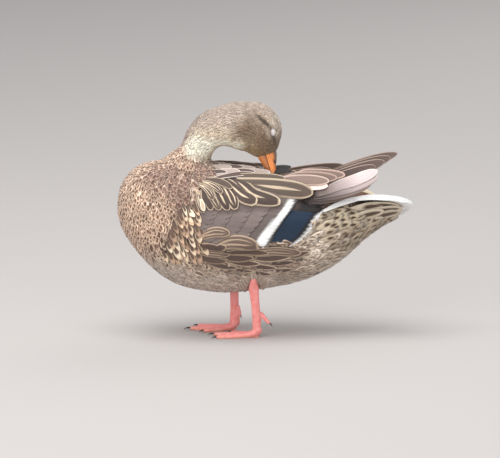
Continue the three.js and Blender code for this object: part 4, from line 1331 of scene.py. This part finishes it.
# Free blades of the folded wings: the path of the whole blade in [x, y, z] for the left side, how
# steeply it stands, half its width, and its feathers: where each starts and ends along the path, where
# its middle lies across the blade, its half-width, its height outside the blade's middle plane, and its
# style or the number of its shade.
BLADES = {
    "tertials_left": dict(
        path=[[34, 8, 190], [36, 42, 191], [38, 76, 190]], lean=58, half=10.5, feathers=[
            (0.2, 1.28, 1.0, 7.5, -1.2, TERTIAL_DUSKY), (0.1, 1.14, 0.6, 7.5, -0.5, TERTIAL_DUSKY),
            (0.0, 0.98, -0.45, 7.0, 0.0, TERTIAL_PALE), (0.0, 1.0, 0.12, 7.5, 0.8, TERTIAL)]),
    "tertials_right": dict(
        path=[[50, -4, 181], [46, 46, 190], [40, 94, 197]], lean=52, half=10.5, feathers=[
            (0.0, 1.0, 0.3, 7.5, 0.9, TERTIAL_FAR_SHADED), (0.0, 0.84, -0.1, 7.5, 0.2, TERTIAL_FAR_SHADED),
            (0.0, 0.66, -0.4, 7.0, -0.5, TERTIAL_FAR_SHADED)]),
    "primaries_left": dict(
        path=[[42, 34, 168], [41, 76, 178], [38, 108, 187], [33, 136, 198]], lean=66, half=13, feathers=[
            (0.0, 0.74, -0.62, 4.6, -0.6, 0), (0.1, 0.86, -0.36, 6.4, 0.0, 1),
            (0.15, 0.97, 0.0, 8.0, 0.7, 2), (0.2, 1.0, 0.42, 7.4, 1.4, 3)]),
    "primaries_right": dict(
        path=[[51, 44, 172], [46, 90, 188], [42, 128, 201], [38, 160, 211]], lean=66, half=13, feathers=[
            (0.0, 1.0, 0.22, 8.0, 1.2, PRIMARY_FAR_SHADED), (0.0, 0.91, 0.05, 8.6, 0.4, PRIMARY_FAR_SHADED),
            (0.0, 0.82, -0.15, 8.6, -0.4, PRIMARY_FAR_SHADED), (0.0, 0.7, -0.35, 8.0, -1.2, PRIMARY_FAR_SHADED)]),
}


def lit_primary_style(shade, v):
    """Colours of a near primary, with painted shade at the root that gives way to painted light at the
    tip.
    """
    edge, root, tip = (srgb(*colour) for colour in PRIMARY_LIT_SHADES[shade])
    # Painted shade darkens the edge at the root, and painted light brightens the middle towards the tip.
    painted_light_share = v * 1.8 - 0.2
    return dict(ground=blend(painted_light_share, edge * 0.35, edge), mark=blend(painted_light_share, root, tip),
                shape=(0.14, 0.0, NO_LINE), tip=3.0)


class HEN_OT_blades(bpy.types.Operator):
    """Stack the long feathers that reach out behind the folded wings"""
    bl_idname = "hen.blades"
    bl_label = "Long wing feathers"

    def execute(self, context):
        rng = np.random.default_rng(SEED + 2)
        for name, blade in BLADES.items():
            kind, word = name.split("_")
            side = dict(SIDES)[word]
            lean = math.radians(blade["lean"])
            outward = np.array([side * math.sin(lean), 0.0, math.cos(lean)])
            corners = np.array(blade["path"]) * [side, 1, 1]
            feathers = LongFeathers(len(blade["feathers"]), rng, (28, 11), 0.3)
            for start, end, offset, half, height, style in blade["feathers"]:
                if isinstance(style, int):
                    style = lit_primary_style(style, feathers.v)
                feathers.along(corners, outward, half, style, height, -side * offset * blade["half"],
                               (start, end))
            feathers.build(name, wing_feathers(), "flight_feathers", [f"wing_{word}_{kind}"])
        return {"FINISHED"}


# ---------------------------------------------------------------- tail

# The tail fan, twisted so that its left edge is raised: [y, x and z of its middle, half-width, roll
# in degrees, how far its sides bend down, how much further back the left edge lies against the width].
FAN = np.array([
    [86, 0, 172, 24, 4, 5, 0.3],
    [112, -2, 168.5, 30, 12, 4, 0.38],
    [136, -6, 160, 33, 22, 4, 0.38],
    [158, -9, 152, 32, 27, 3.5, 0.38],
    [170.5, -8, 151.7, 25, 28, 2, 0.22],
    [177, -2, 155.5, 14, 27, 1, 0.1],
])
FAN_HALF = 32.0
TAIL_FEATHERS = 18
# Where along Y the middle feathers of the fan begin and end, and how much less far back than that
# the outermost ones do.
TAIL_ROOT_Y, TAIL_TIP_Y = 92.0, 176.5
SIDE_ROOT, SIDE_TIP = 8.0, 18.0
# The white feathers along the raised edge of the fan: their curve in [x, y, z], and their spans of it.
TAIL_EDGE = [[42, 68, 155], [38.5, 84, 162], [33.5, 102, 167.4], [28, 120, 169.8], [22, 144, 168.8],
             [16, 162, 165.4], [7, 176, 160]]
TAIL_EDGE_SPANS = [(0.5, 1.0), (0.27, 0.82), (0.0, 0.5)]
# Coverts below the tail, which hide the end of the body: their curves, half-widths and outward
# directions in [x, z], the lowest layer first.
UNDERTAIL = [
    ([[24, 112, 158], [20, 136, 160], [13, 160, 158]], 6.0, (0.7, -0.7)),
    ([[-20, 112, 136], [-22, 136, 141], [-20, 158, 143]], 6.5, (-0.7, -0.7)),
    ([[22, 116, 150], [17, 140, 153], [9, 164, 154]], 6.0, (0.85, -0.5)),
    ([[22, 114, 141], [16, 138, 146], [7, 163, 150]], 6.0, (0.9, -0.4)),
    ([[-12, 114, 124], [-12, 138, 134], [-12, 160, 141]], 6.5, (-0.5, -0.85)),
    ([[19, 112, 130], [13, 136, 139], [4, 161, 147]], 6.0, (0.85, -0.5)),
    ([[12, 110, 119], [7, 134, 131], [-1, 159, 143]], 6.5, (0.6, -0.8)),
    ([[0, 108, 113], [-2, 132, 127], [-7, 157, 140]], 7.0, (0.1, -1.0)),
    ([[27, 98, 154], [24, 120, 158], [18, 142, 160]], 6.0, (0.9, -0.4)),
    ([[30, 96, 143], [25, 119, 148], [18, 142, 152]], 6.5, (0.95, -0.3)),
    ([[27, 96, 128], [22, 119, 136], [14, 142, 143]], 6.5, (0.9, -0.45)),
    ([[18, 94, 113], [14, 117, 124], [8, 140, 134]], 6.5, (0.7, -0.7)),
    ([[4, 92, 103], [2, 115, 116], [-1, 138, 129]], 7.0, (0.2, -1.0)),
]
# Two upper coverts that show beyond the raised edge.
TAIL_SIDE = [
    ([[16, 86, 166], [23, 106, 172], [23, 123, 174]], 3.6, look((224, 180, 140), (124, 88, 66), 0.3)),
    ([[16, 98, 172], [21, 117, 177.5], [20, 134, 170]], 2.4, look((255, 242, 216), (250, 232, 204), 0.4)),
]
ABOVE_TAIL = look((214, 188, 160), (88, 70, 60), 0.18)
BELOW_TAIL = look((208, 194, 172), (84, 65, 51), 0.62, 0.5)
# The rows of upper coverts: where they start, their length and their height over the fan.
ABOVE_ROWS = [(88, 40, 1.8), (78, 40, 3.0)]
ABOVE_COUNT = 11
# The edge and the middle of a tail feather, each in the middle of the fan and at its sides.
TAIL_SHADES = {"ground": (srgb(236, 222, 198), WHITE), "mark": (srgb(158, 142, 120), srgb(232, 222, 204))}


def on_fan(y, across, height):
    """Places over the tail fan, and the fan's upward direction there."""
    shares = np.interp(y, FAN[:, 0], np.linspace(0, 1, len(FAN)))
    rows = curve_through(FAN, shares.ravel()).reshape(*y.shape, FAN.shape[1])
    x, z, roll, drop, skew = (rows[..., k] for k in (1, 2, 4, 5, 6))
    sine, cosine = np.sin(np.radians(roll)), np.cos(np.radians(roll))
    lift = height - drop * (across / FAN_HALF) ** 2
    places = np.stack([x + across * cosine - lift * sine, y + across * skew,
                       z + across * sine + lift * cosine], axis=-1)
    return places, np.stack([-sine, np.zeros_like(sine), cosine], axis=-1)


def fan_feather(feathers, start, end, across, half, heights, style, tilt=0.0):
    """Lays a feather in the fan, from "start" to "end" along Y."""
    v = feathers.v
    wide = feathers.widths(half, style)
    place = (across[0] + (across[1] - across[0]) * v)[:, None] + wide
    height = (heights[0] + (heights[1] - heights[0]) * v)[:, None] + tilt * wide
    y = np.broadcast_to((start + (end - start) * v)[:, None], wide.shape)
    grid, ups = on_fan(y, place, height)
    feathers.place(grid, ups, (end - start) / half, style)


def tail_style(out, v):
    """Colours of a tail feather, which are whiter at the tip and at the sides of the fan."""
    whiteness = np.clip(abs(out) * 2.2 - 1.1, 0, 1)
    colours = {key: painted(v, (0.0, inner * (1 - whiteness) + outer * whiteness), (0.84, WHITE))
               for key, (inner, outer) in TAIL_SHADES.items()}
    return dict(colours, shape=(0.26 + 0.6 * whiteness, 0.0, NO_LINE), tip=2.8)


class HEN_OT_tail(bpy.types.Operator):
    """Fan out the tail feathers, the middle ones on top, and cover their roots above and below"""
    bl_idname = "hen.tail"
    bl_label = "Tail"

    def execute(self, context):
        rng = np.random.default_rng(SEED + 3)
        tail = LongFeathers(TAIL_FEATHERS + len(TAIL_EDGE_SPANS), rng, (24, 9))
        for index in range(TAIL_FEATHERS):
            out = 2 * index / (TAIL_FEATHERS - 1) - 1
            droop = 7.0 * abs(out) ** 3
            start = TAIL_ROOT_Y - SIDE_ROOT * out ** 2
            end = TAIL_TIP_Y - SIDE_TIP * abs(out) ** 2.6
            fan_feather(tail, start, end, (21 * out, 29 * out), 6.4,
                        (0.5 - abs(out) - droop, 0.5 - abs(out)), tail_style(out, tail.v),
                        tilt=0.07 * np.sign(out))
        for span in TAIL_EDGE_SPANS:
            tail.along(TAIL_EDGE, np.array([0.9, 0.0, 0.35]), 3.4,
                       dict(ground=WHITE, mark=WHITE, shape=(0.5, 0.0, NO_LINE)), 1.0, span=span)
        tail.build("tail_feathers", wing_feathers(), "tail_feathers", ["tail"])
        self.coverts(rng)
        return {"FINISHED"}

    def coverts(self, rng):
        """The feathers that cover the roots of the tail, above and below."""
        total = len(ABOVE_ROWS) * ABOVE_COUNT + len(UNDERTAIL) + len(TAIL_SIDE)
        feathers = LongFeathers(total, rng, (14, 7))
        for row, (start, length, height) in enumerate(ABOVE_ROWS):
            for index in range(ABOVE_COUNT):
                out = (index + 0.5 * row) / ABOVE_COUNT * 1.7 - 1.02
                begin = start + rng.normal(0, 1.5)
                droop = 6.0 * abs(out) ** 3
                fan_feather(feathers, begin, begin + length, (20 * out, 28 * out), 5.2,
                            (height * 1.3 - droop, height * 0.8 - 0.4 * droop), ABOVE_TAIL)
        for corners, half, (out, up) in UNDERTAIL:
            feathers.along(corners, np.array([out, 0.0, up]), half, BELOW_TAIL)
        for corners, half, style in TAIL_SIDE:
            feathers.along(corners, np.array([0.8, 0.0, 0.6]), half, style)
        feathers.build("tail_coverts", wing_feathers(), "tail_feathers")


# ---------------------------------------------------------------- bill and eyes

# Size of the faces in metres and rounds of smoothing, where a piece is made even.
BILL_GRAIN, LEG_GRAIN, CLAW_GRAIN = (0.00055, 5), (0.00065, 4), (0.0003, 3)
# The part of the bill's root that is drawn out into the head, and how much.
BILL_ROOT, ROOT_STRETCH = 2.0, 1.6
# The nostrils: their place along the bill and up from its middle, their depth, and the half-length and
# half-height of the dent and of the painted shade in it.
NOSTRIL = {"along": 11.5, "up": 5.4, "depth": 1.1, "dent": (3.4, 1.3), "dark": (3.0, 1.1)}
# The dark ridge: how high above the middle of the bill's root it begins, how much lower it is further
# along, and the height over which it blends in.
RIDGE = {"up": 5.84, "drop": 0.14, "soft": 2.2}
# The dusky lower bill turns orange below this height, over this distance.
ORANGE_BELOW, ORANGE_SOFT = -4.0, 6.0
ORANGE, RIDGE_BROWN = srgb(240, 146, 76), srgb(128, 100, 86)
DUSK, NOSTRIL_SHADE = srgb(166, 104, 64), srgb(50, 34, 26)
# The closed lid against the eyeball: how much longer and lower it is, and its thickness in millimetres.
# Then its seam: how high it lies and how much it sags, its half-width and depth, and where it fades at
# the corners of the eye. Last its folds, by their distance from the seam, half-width and height, and
# the half-length and half-height of its pale middle.
LID = {"longer": 1.2, "lower": 0.93, "thickness": 0.35,
       "seam_up": 1.3, "sag": 0.06, "seam": 0.26, "depth": 0.18, "corner": 4.2, "fade": 0.8,
       "folds": ((1.0, 0.4, 0.12), (-2.4, 0.5, 0.072)), "core": (4.5, 3.5)}


def horn_material(name, roughness):
    """Mottled horn in the colours of the piece's vertices."""
    nodes = Nodes(name)
    place = nodes.place()
    mottle = nodes.step(nodes.noise(place, 420.0, 5.0, 0.6), 0.42, 0.72, 0.0, 0.4)
    nodes.colour(nodes.mix(mottle, nodes.attribute("ground", "Color"), srgb(96, 62, 38)))
    nodes.bump(nodes.noise(place, 900.0, 3.0), 0.25, 0.0003)
    nodes.set(Roughness=roughness, Specular_IOR_Level=0.5)
    return nodes.material


def nostril(along, up, size):
    """How much of a nostril of that half-length and half-height there is at each place."""
    return np.exp(-((along - NOSTRIL["along"]) / size[0]) ** 2 - ((up - NOSTRIL["up"]) / size[1]) ** 2)


class HEN_OT_bill(bpy.types.Operator):
    """Shape the two halves of the bill, with nostrils and a dark ridge"""
    bl_idname = "hen.bill"
    bl_label = "Bill"

    def execute(self, context):
        for node in ("bill_upper", "bill_lower"):
            piece = merged_copy([node], f"{node}_horn")
            remesh(piece, *BILL_GRAIN)
            points, normals = read_points(piece)
            local = points - BILL_BASE
            along, up = local @ BILL_ALONG, local @ BILL_UP
            inward = np.clip(BILL_ROOT - along, 0, BILL_ROOT) * ROOT_STRETCH
            points = points - BILL_ALONG * inward[:, None]
            if node == "bill_upper":
                dent = nostril(along, up, NOSTRIL["dent"]) * NOSTRIL["depth"]
                points = points - normals * dent[:, None]
                ridge = (up - RIDGE["up"] + RIDGE["drop"] * along) / RIDGE["soft"]
                colours = blend(ridge, ORANGE, RIDGE_BROWN)
                # Painted shade in the nostril's opening.
                colours = blend(nostril(along, up, NOSTRIL["dark"]), colours, NOSTRIL_SHADE)
            else:
                colours = blend((ORANGE_BELOW - up) / ORANGE_SOFT, DUSK, ORANGE)
            write_points(piece, points)
            paint(piece, colours, material_named("bill_horn", horn_material, roughness=0.42))
            finish_piece(piece, [node])
        return {"FINISHED"}


def eye_material(name):
    """The dark, wet surface of an eye."""
    nodes = Nodes(name)
    nodes.colour(nodes.mix(nodes.noise(nodes.place(), 500.0), srgb(44, 28, 20), srgb(66, 42, 28)))
    nodes.set(Roughness=0.08, Coat_Weight=0.6, Coat_Roughness=0.03)
    return nodes.material


def lid_material(name):
    """Pale folded skin, dusky round the eye, with painted shade in the crease of the seam."""
    nodes = Nodes(name)
    folds = nodes.noise(nodes.stretched(nodes.place(), (1.0, 0.4, 1.6)), 1500.0, 4.0)
    pale = nodes.mix(folds, srgb(248, 243, 240), srgb(216, 206, 202))
    dusky = nodes.mix(folds, srgb(150, 132, 122), srgb(104, 86, 76))
    colour = nodes.mix(nodes.attribute("core", "Fac"), dusky, pale)
    # Painted shade in the crease of the seam.
    seam = nodes.math("MULTIPLY", nodes.attribute("seam", "Fac"), 0.5)
    nodes.colour(nodes.mix(seam, colour, srgb(120, 100, 92)))
    nodes.bump(folds, 0.5, 0.0003)
    nodes.set(Roughness=0.7)
    return nodes.material


class HEN_OT_eyes(bpy.types.Operator):
    """Set in both eyes, with the pale lids shut over them"""
    bl_idname = "hen.eyes"
    bl_label = "Eyes"

    def execute(self, context):
        # The head is turned back, so its right eye is on the left side of the bird.
        for word, side in (("right", LEFT), ("left", RIGHT)):
            ball = self.egg(f"eyeball_{word}", side, rings=32, longer=1.0, lower=0.9)
            ball.data.materials.append(eye_material(f"eyeball_{word}"))
            finish_piece(ball, [f"eye_{word}"])
            self.lid(word, side)
        return {"FINISHED"}

    def egg(self, name, side, rings, longer, lower, thicker=0.0):
        """A flattened ball in the eye's place, longer along the head and lower across it."""
        deselect()
        bpy.ops.mesh.primitive_uv_sphere_add(
            segments=rings * 3 // 2, ring_count=rings, radius=EYE["radius"] * MM)
        piece = bpy.context.object
        piece.name = name
        spot, ahead, out, above = eye_frame(side)
        sizes = np.array([longer, EYE["flatness"], lower]) + thicker / EYE["radius"]
        points = read_points(piece)[0] * sizes
        write_points(piece, spot - out * EYE["depth"] + points @ np.stack([ahead, out, above]))
        bpy.ops.object.shade_smooth()
        return piece

    def lid(self, word, side):
        """The closed lids over the eye, with a fine seam where they meet and a fold above and below."""
        lid = self.egg(f"eyelid_{word}", side, 48, LID["longer"], LID["lower"], LID["thickness"])
        spot, forward, out, _ = eye_frame(side)
        upward = np.cross(out, forward) * side
        modify(lid, "SUBSURF", levels=1, render_levels=1)
        points, normals = read_points(lid)
        local = points - spot
        ahead, up = local @ forward, local @ upward
        off = up - LID["seam_up"] + LID["sag"] * ahead ** 2
        open_ended = np.clip((LID["corner"] - np.abs(ahead)) / LID["fade"], 0, 1)
        seam = np.exp(-(off / LID["seam"]) ** 2) * open_ended
        level = -LID["depth"] * seam
        for fold_up, half, height in LID["folds"]:
            level = level + height * np.exp(-((off - fold_up) / half) ** 2)
        write_points(lid, points + normals * level[:, None])
        long, high = LID["core"]
        core = np.exp(-((ahead / long) ** 2 + (up / high) ** 2) ** 2)
        # The seam's attribute carries the painted shade in its crease.
        for key, values in (("core", core), ("seam", seam)):
            lid.data.attributes.new(key, "FLOAT", "POINT").data.foreach_set("value", values)
        lid.data.materials.append(lid_material(f"eyelid_{word}"))
        finish_piece(lid)


# ---------------------------------------------------------------- legs

LEGS = {
    "left": dict(heel=[37, -14, 65], foot=[26, -9, 11]),
    "right": dict(heel=[-37, -37.5, 65], foot=[-26, -36.5, 11]),
}

# The round joint above each foot, and the share of the shank's flare behind it that is taken away: how
# far above and below it and how far behind it this is done, and over what distance from the hind claw
# it fades in.
JOINT = {"radius": 5.6, "from_foot": np.array([0.0, 0.6, -1.2]), "flare_z": 13.0, "flare_span": 9.0,
         "flare_cut": 0.35, "reach": 9.0, "clear": (1.5, 9.0)}
# The slim end of the shank, which bends out to where it leaves the feathers of the thigh.
ANKLE = {"from_z": 60.0, "height": 9.0, "slimmer": 0.6, "outward": 1.2, "longer": 0.9}
# Feathers around the upper end of each leg: how many, how far from it the outermost root and tip lie
# along Y, the height of the highest tip, how much lower the outermost one is, and their length.
CUFF = {"count": 17, "root": 18.0, "tip": 10.5, "top": 76.0, "drop": 17.0, "length": 17.0, "half": 2.5}
DOWNY = look((200, 182, 167), (148, 130, 117), 0.5, 0.3, tip=1.6)
# The horny plates across the front of the shank: their length and height, and how high above the floor
# they begin, over this distance.
PLATES = {"length": 3.4, "height": 0.3, "from_z": 12, "soft": 4}
LEG_SWELL = 0.3               # closes the thin cuts between shank, foot and hind toe
SOLE_Z = 0.35                 # what lies lower is pressed flat on the floor
# The web is paler than the legs: up to this height, over this distance and this strongly.
WEB = {"top": 2.2, "soft": 1.5, "share": 0.7}
CORAL, WEB_COLOUR, CLAW_DARK = srgb(255, 166, 161), srgb(255, 182, 158), srgb(70, 50, 42)


def leg_material(name):
    """Skin in the colours of the piece's vertices, with blotches and small plates."""
    nodes = Nodes(name)
    place = nodes.place()
    cells = nodes.add("ShaderNodeTexVoronoi", feature="DISTANCE_TO_EDGE")
    cells.inputs["Scale"].default_value = 820.0
    nodes.link(place, cells.inputs["Vector"])
    plates = nodes.step(cells.outputs["Distance"], 0.0, 0.22)
    noise = nodes.noise(place, 160.0, 5.0)
    blotch = nodes.step(noise, 0.35, 0.7, 0.0, 0.45)
    colour = nodes.mix(blotch, nodes.attribute("ground", "Color"), srgb(236, 116, 102))
    gaps = nodes.step(plates, 0.0, 1.0, 0.15, 0.0)
    nodes.colour(nodes.mix(gaps, colour, srgb(150, 62, 56)))
    nodes.bump(nodes.math("ADD", plates, noise), 0.35, 0.0003)
    nodes.set(Roughness=0.5, Subsurface_Weight=0.08, Specular_IOR_Level=0.35,
              Subsurface_Radius=(0.004, 0.0015, 0.001))
    return nodes.material


def slimmed(points, side, heel, foot, claws):
    """Takes off the flare behind the ankle joint, and bends the slim upper end out to the thigh."""
    x, y, z = points.T
    hooks = claws[claws[:, 2] > JOINT["flare_z"] - JOINT["flare_span"]]
    gaps = np.array([np.linalg.norm(hooks - point, axis=1).min() for point in points])
    axis_y = np.interp(z, [foot[2], heel[2]], [foot[1], heel[1]])
    flare = np.clip(1 - np.abs(z - JOINT["flare_z"]) / JOINT["flare_span"], 0, 1)
    behind = np.clip(y - axis_y, 0, JOINT["reach"])
    y = y - behind * np.interp(gaps, JOINT["clear"], [0, 1]) * flare * JOINT["flare_cut"]
    above = np.clip(z - ANKLE["from_z"], 0, None)
    slim = 1 - ANKLE["slimmer"] * np.clip(above / ANKLE["height"], 0, 1)
    return np.stack([x + side * above * ANKLE["outward"], heel[1] + (y - heel[1]) * slim,
                     z + above * ANKLE["longer"]], axis=1)


class HEN_OT_legs(bpy.types.Operator):
    """Shape the scaly legs, the webbed feet and the claws, with feathers around the top of each leg"""
    bl_idname = "hen.legs"
    bl_label = "Legs"

    def execute(self, context):
        rng = np.random.default_rng(SEED + 4)
        surface = Surface(bpy.data.objects["skin"])
        for word, side in SIDES:
            heel, foot = (np.array(LEGS[word][end], float) for end in ("heel", "foot"))
            nodes = [f"claw_{word}_{toe}" for toe in ("inner", "middle", "outer", "hind")]
            claws = merged_copy(nodes, f"claws_{word}")
            self.leg(context, word, side, heel, foot, read_points(claws)[0])
            self.cuff(word, side, heel, surface, rng)
            remesh(claws, *CLAW_GRAIN)
            colours = np.tile(CLAW_DARK, (len(claws.data.vertices), 1))
            paint(claws, colours, material_named("claw_horn", horn_material, roughness=0.35))
            finish_piece(claws, nodes)
        return {"FINISHED"}

    def leg(self, context, word, side, heel, foot, claws):
        """The shank with its round ankle joint, and the foot with its web and hind toe."""
        nodes = [f"tarsus_{word}", f"foot_{word}", f"hind_toe_{word}"]
        leg = merged_copy(nodes, f"leg_{word}")
        deselect()
        bpy.ops.mesh.primitive_uv_sphere_add(segments=24, ring_count=16, radius=JOINT["radius"] * MM,
                                             location=(foot + JOINT["from_foot"]) * MM)
        select(leg, context.object)
        bpy.ops.object.join()
        modify(leg, "DISPLACE", strength=LEG_SWELL * MM, mid_level=0.0)
        remesh(leg, *LEG_GRAIN)
        points, normals = read_points(leg)
        points = slimmed(points, side, heel, foot, claws)
        down = (points - heel) @ unit(foot - heel)
        front = np.clip(-normals[:, 1], 0, 1)
        shank = np.clip((points[:, 2] - PLATES["from_z"]) / PLATES["soft"], 0, 1)
        plates = np.abs(np.sin(down * math.pi / PLATES["length"])) ** 0.6 * front * shank
        points = points + normals * (plates * PLATES["height"])[:, None]
        points[:, 2] = np.where(points[:, 2] < SOLE_Z, 0.0, points[:, 2])
        write_points(leg, points)
        web = np.clip(1 - (points[:, 2] - WEB["top"]) / WEB["soft"], 0, 1)
        colours = blend(web * WEB["share"], CORAL, WEB_COLOUR)
        paint(leg, colours, material_named("leg_scales", leg_material))
        finish_piece(leg, nodes)

    def cuff(self, word, side, heel, surface, rng):
        """The short feathers that hide where the leg leaves the thigh."""
        feathers = LongFeathers(CUFF["count"], rng, (12, 7))
        for place in rng.permutation(np.linspace(-1, 1, CUFF["count"])):
            low = CUFF["top"] - CUFF["drop"] * abs(place) ** 1.2 + rng.normal(0, 1.2)
            shaft = [[heel[1] + CUFF["root"] * place, low + CUFF["length"]],
                     [heel[1] + CUFF["tip"] * place + rng.normal(0, 0.8), low]]
            lay_table(feathers, surface, [(shaft, CUFF["half"], (1.0, 3.0), DOWNY)], side)
        feathers.build(f"thigh_{word}_tuft", body_feathers(), "plumage_body")


# ---------------------------------------------------------------- stage

# The lights: place in metres, size, and share of the power that the settings give.
LIGHTS = {
    "overhead": ((0.6, -0.5, 2.6), 2.2, 1.0), "front": ((3.4, -1.6, 1.6), 2.5, 0.6),
    "breast": ((2.4, -2.4, 0.5), 1.6, 0.22), "back": ((-2.6, 1.8, 1.8), 2.5, 0.4),
    "low": ((3.0, 1.9, 0.45), 1.6, 0.3),
}
SKY, SKY_STRENGTH = (0.86, 0.88, 0.92, 1.0), 0.66
# The camera looks from the left side at a place in metres: how far down, from what distance, and how
# wide the view is there. Its sensor is in millimetres.
CAMERA = {"target": np.array([0.0, -0.0183, 0.1276]), "down": math.radians(9.0), "distance": 7.0,
          "view": 0.600, "sensor": 36.0}


class HEN_OT_stage(bpy.types.Operator):
    """Set up the floor, the studio light and the camera"""
    bl_idname = "hen.stage"
    bl_label = "Stage"

    def execute(self, context):
        settings = context.scene.hen
        deselect()
        bpy.ops.mesh.primitive_plane_add(size=60.0, location=(0, 0, 0))
        floor = context.object
        floor.name = "floor"
        nodes = Nodes("floor")
        nodes.set(Base_Color=(*settings.floor_colour, 1.0), Roughness=0.9)
        floor.data.materials.append(nodes.material)
        for name, (place, size, share) in LIGHTS.items():
            bpy.ops.object.light_add(type="AREA", location=place)
            lamp = context.object
            lamp.name = f"light_{name}"
            lamp.data.size = size
            lamp.data.energy = settings.stage_light * share
            aim = -lamp.location
            lamp.rotation_euler = aim.to_track_quat("-Z", "Y").to_euler()
        world = bpy.data.worlds.new("studio")
        world.use_nodes = True
        background = world.node_tree.nodes["Background"]
        background.inputs["Color"].default_value = SKY
        background.inputs["Strength"].default_value = SKY_STRENGTH
        context.scene.world = world
        down, distance = CAMERA["down"], CAMERA["distance"]
        place = CAMERA["target"] + distance * np.array([math.cos(down), 0.0, math.sin(down)])
        bpy.ops.object.camera_add(location=place)
        camera = context.object
        camera.name = "camera"
        camera.rotation_euler = (math.pi / 2 - down, 0.0, math.pi / 2)
        camera.data.sensor_width = CAMERA["sensor"]
        camera.data.lens = CAMERA["sensor"] * distance / CAMERA["view"]
        camera.data.clip_start = 0.1
        camera.data.clip_end = 100.0
        context.scene.camera = camera
        context.scene.view_settings.view_transform = "Standard"
        return {"FINISHED"}


# ---------------------------------------------------------------- panel and main

OPERATORS = (HEN_OT_skin, HEN_OT_coat, HEN_OT_wings, HEN_OT_blades, HEN_OT_tail, HEN_OT_bill,
             HEN_OT_eyes, HEN_OT_legs, HEN_OT_stage)


class HEN_PT_panel(bpy.types.Panel):
    """Buttons and settings for the hen"""
    bl_label = "Mallard hen"
    bl_idname = "HEN_PT_panel"
    bl_space_type = "VIEW_3D"
    bl_region_type = "UI"
    bl_category = "Hen"

    def draw(self, context):
        column = self.layout.column()
        for name in HenSettings.__annotations__:
            column.prop(context.scene.hen, name)
        for operator in OPERATORS:
            column.operator(operator.bl_idname)


CLASSES = (HenSettings, *OPERATORS, HEN_PT_panel)


def register():
    for cls in CLASSES:
        bpy.utils.register_class(cls)
    bpy.types.Scene.hen = PointerProperty(type=HenSettings)


def unregister():
    del bpy.types.Scene.hen
    for cls in reversed(CLASSES):
        bpy.utils.unregister_class(cls)


def main():
    register()
    bpy.ops.hen.skin()
    bpy.ops.hen.coat()
    bpy.ops.hen.wings()
    bpy.ops.hen.blades()
    bpy.ops.hen.tail()
    bpy.ops.hen.bill()
    bpy.ops.hen.eyes()
    bpy.ops.hen.legs()
    bpy.ops.hen.stage()


if __name__ == "__main__":
    main()
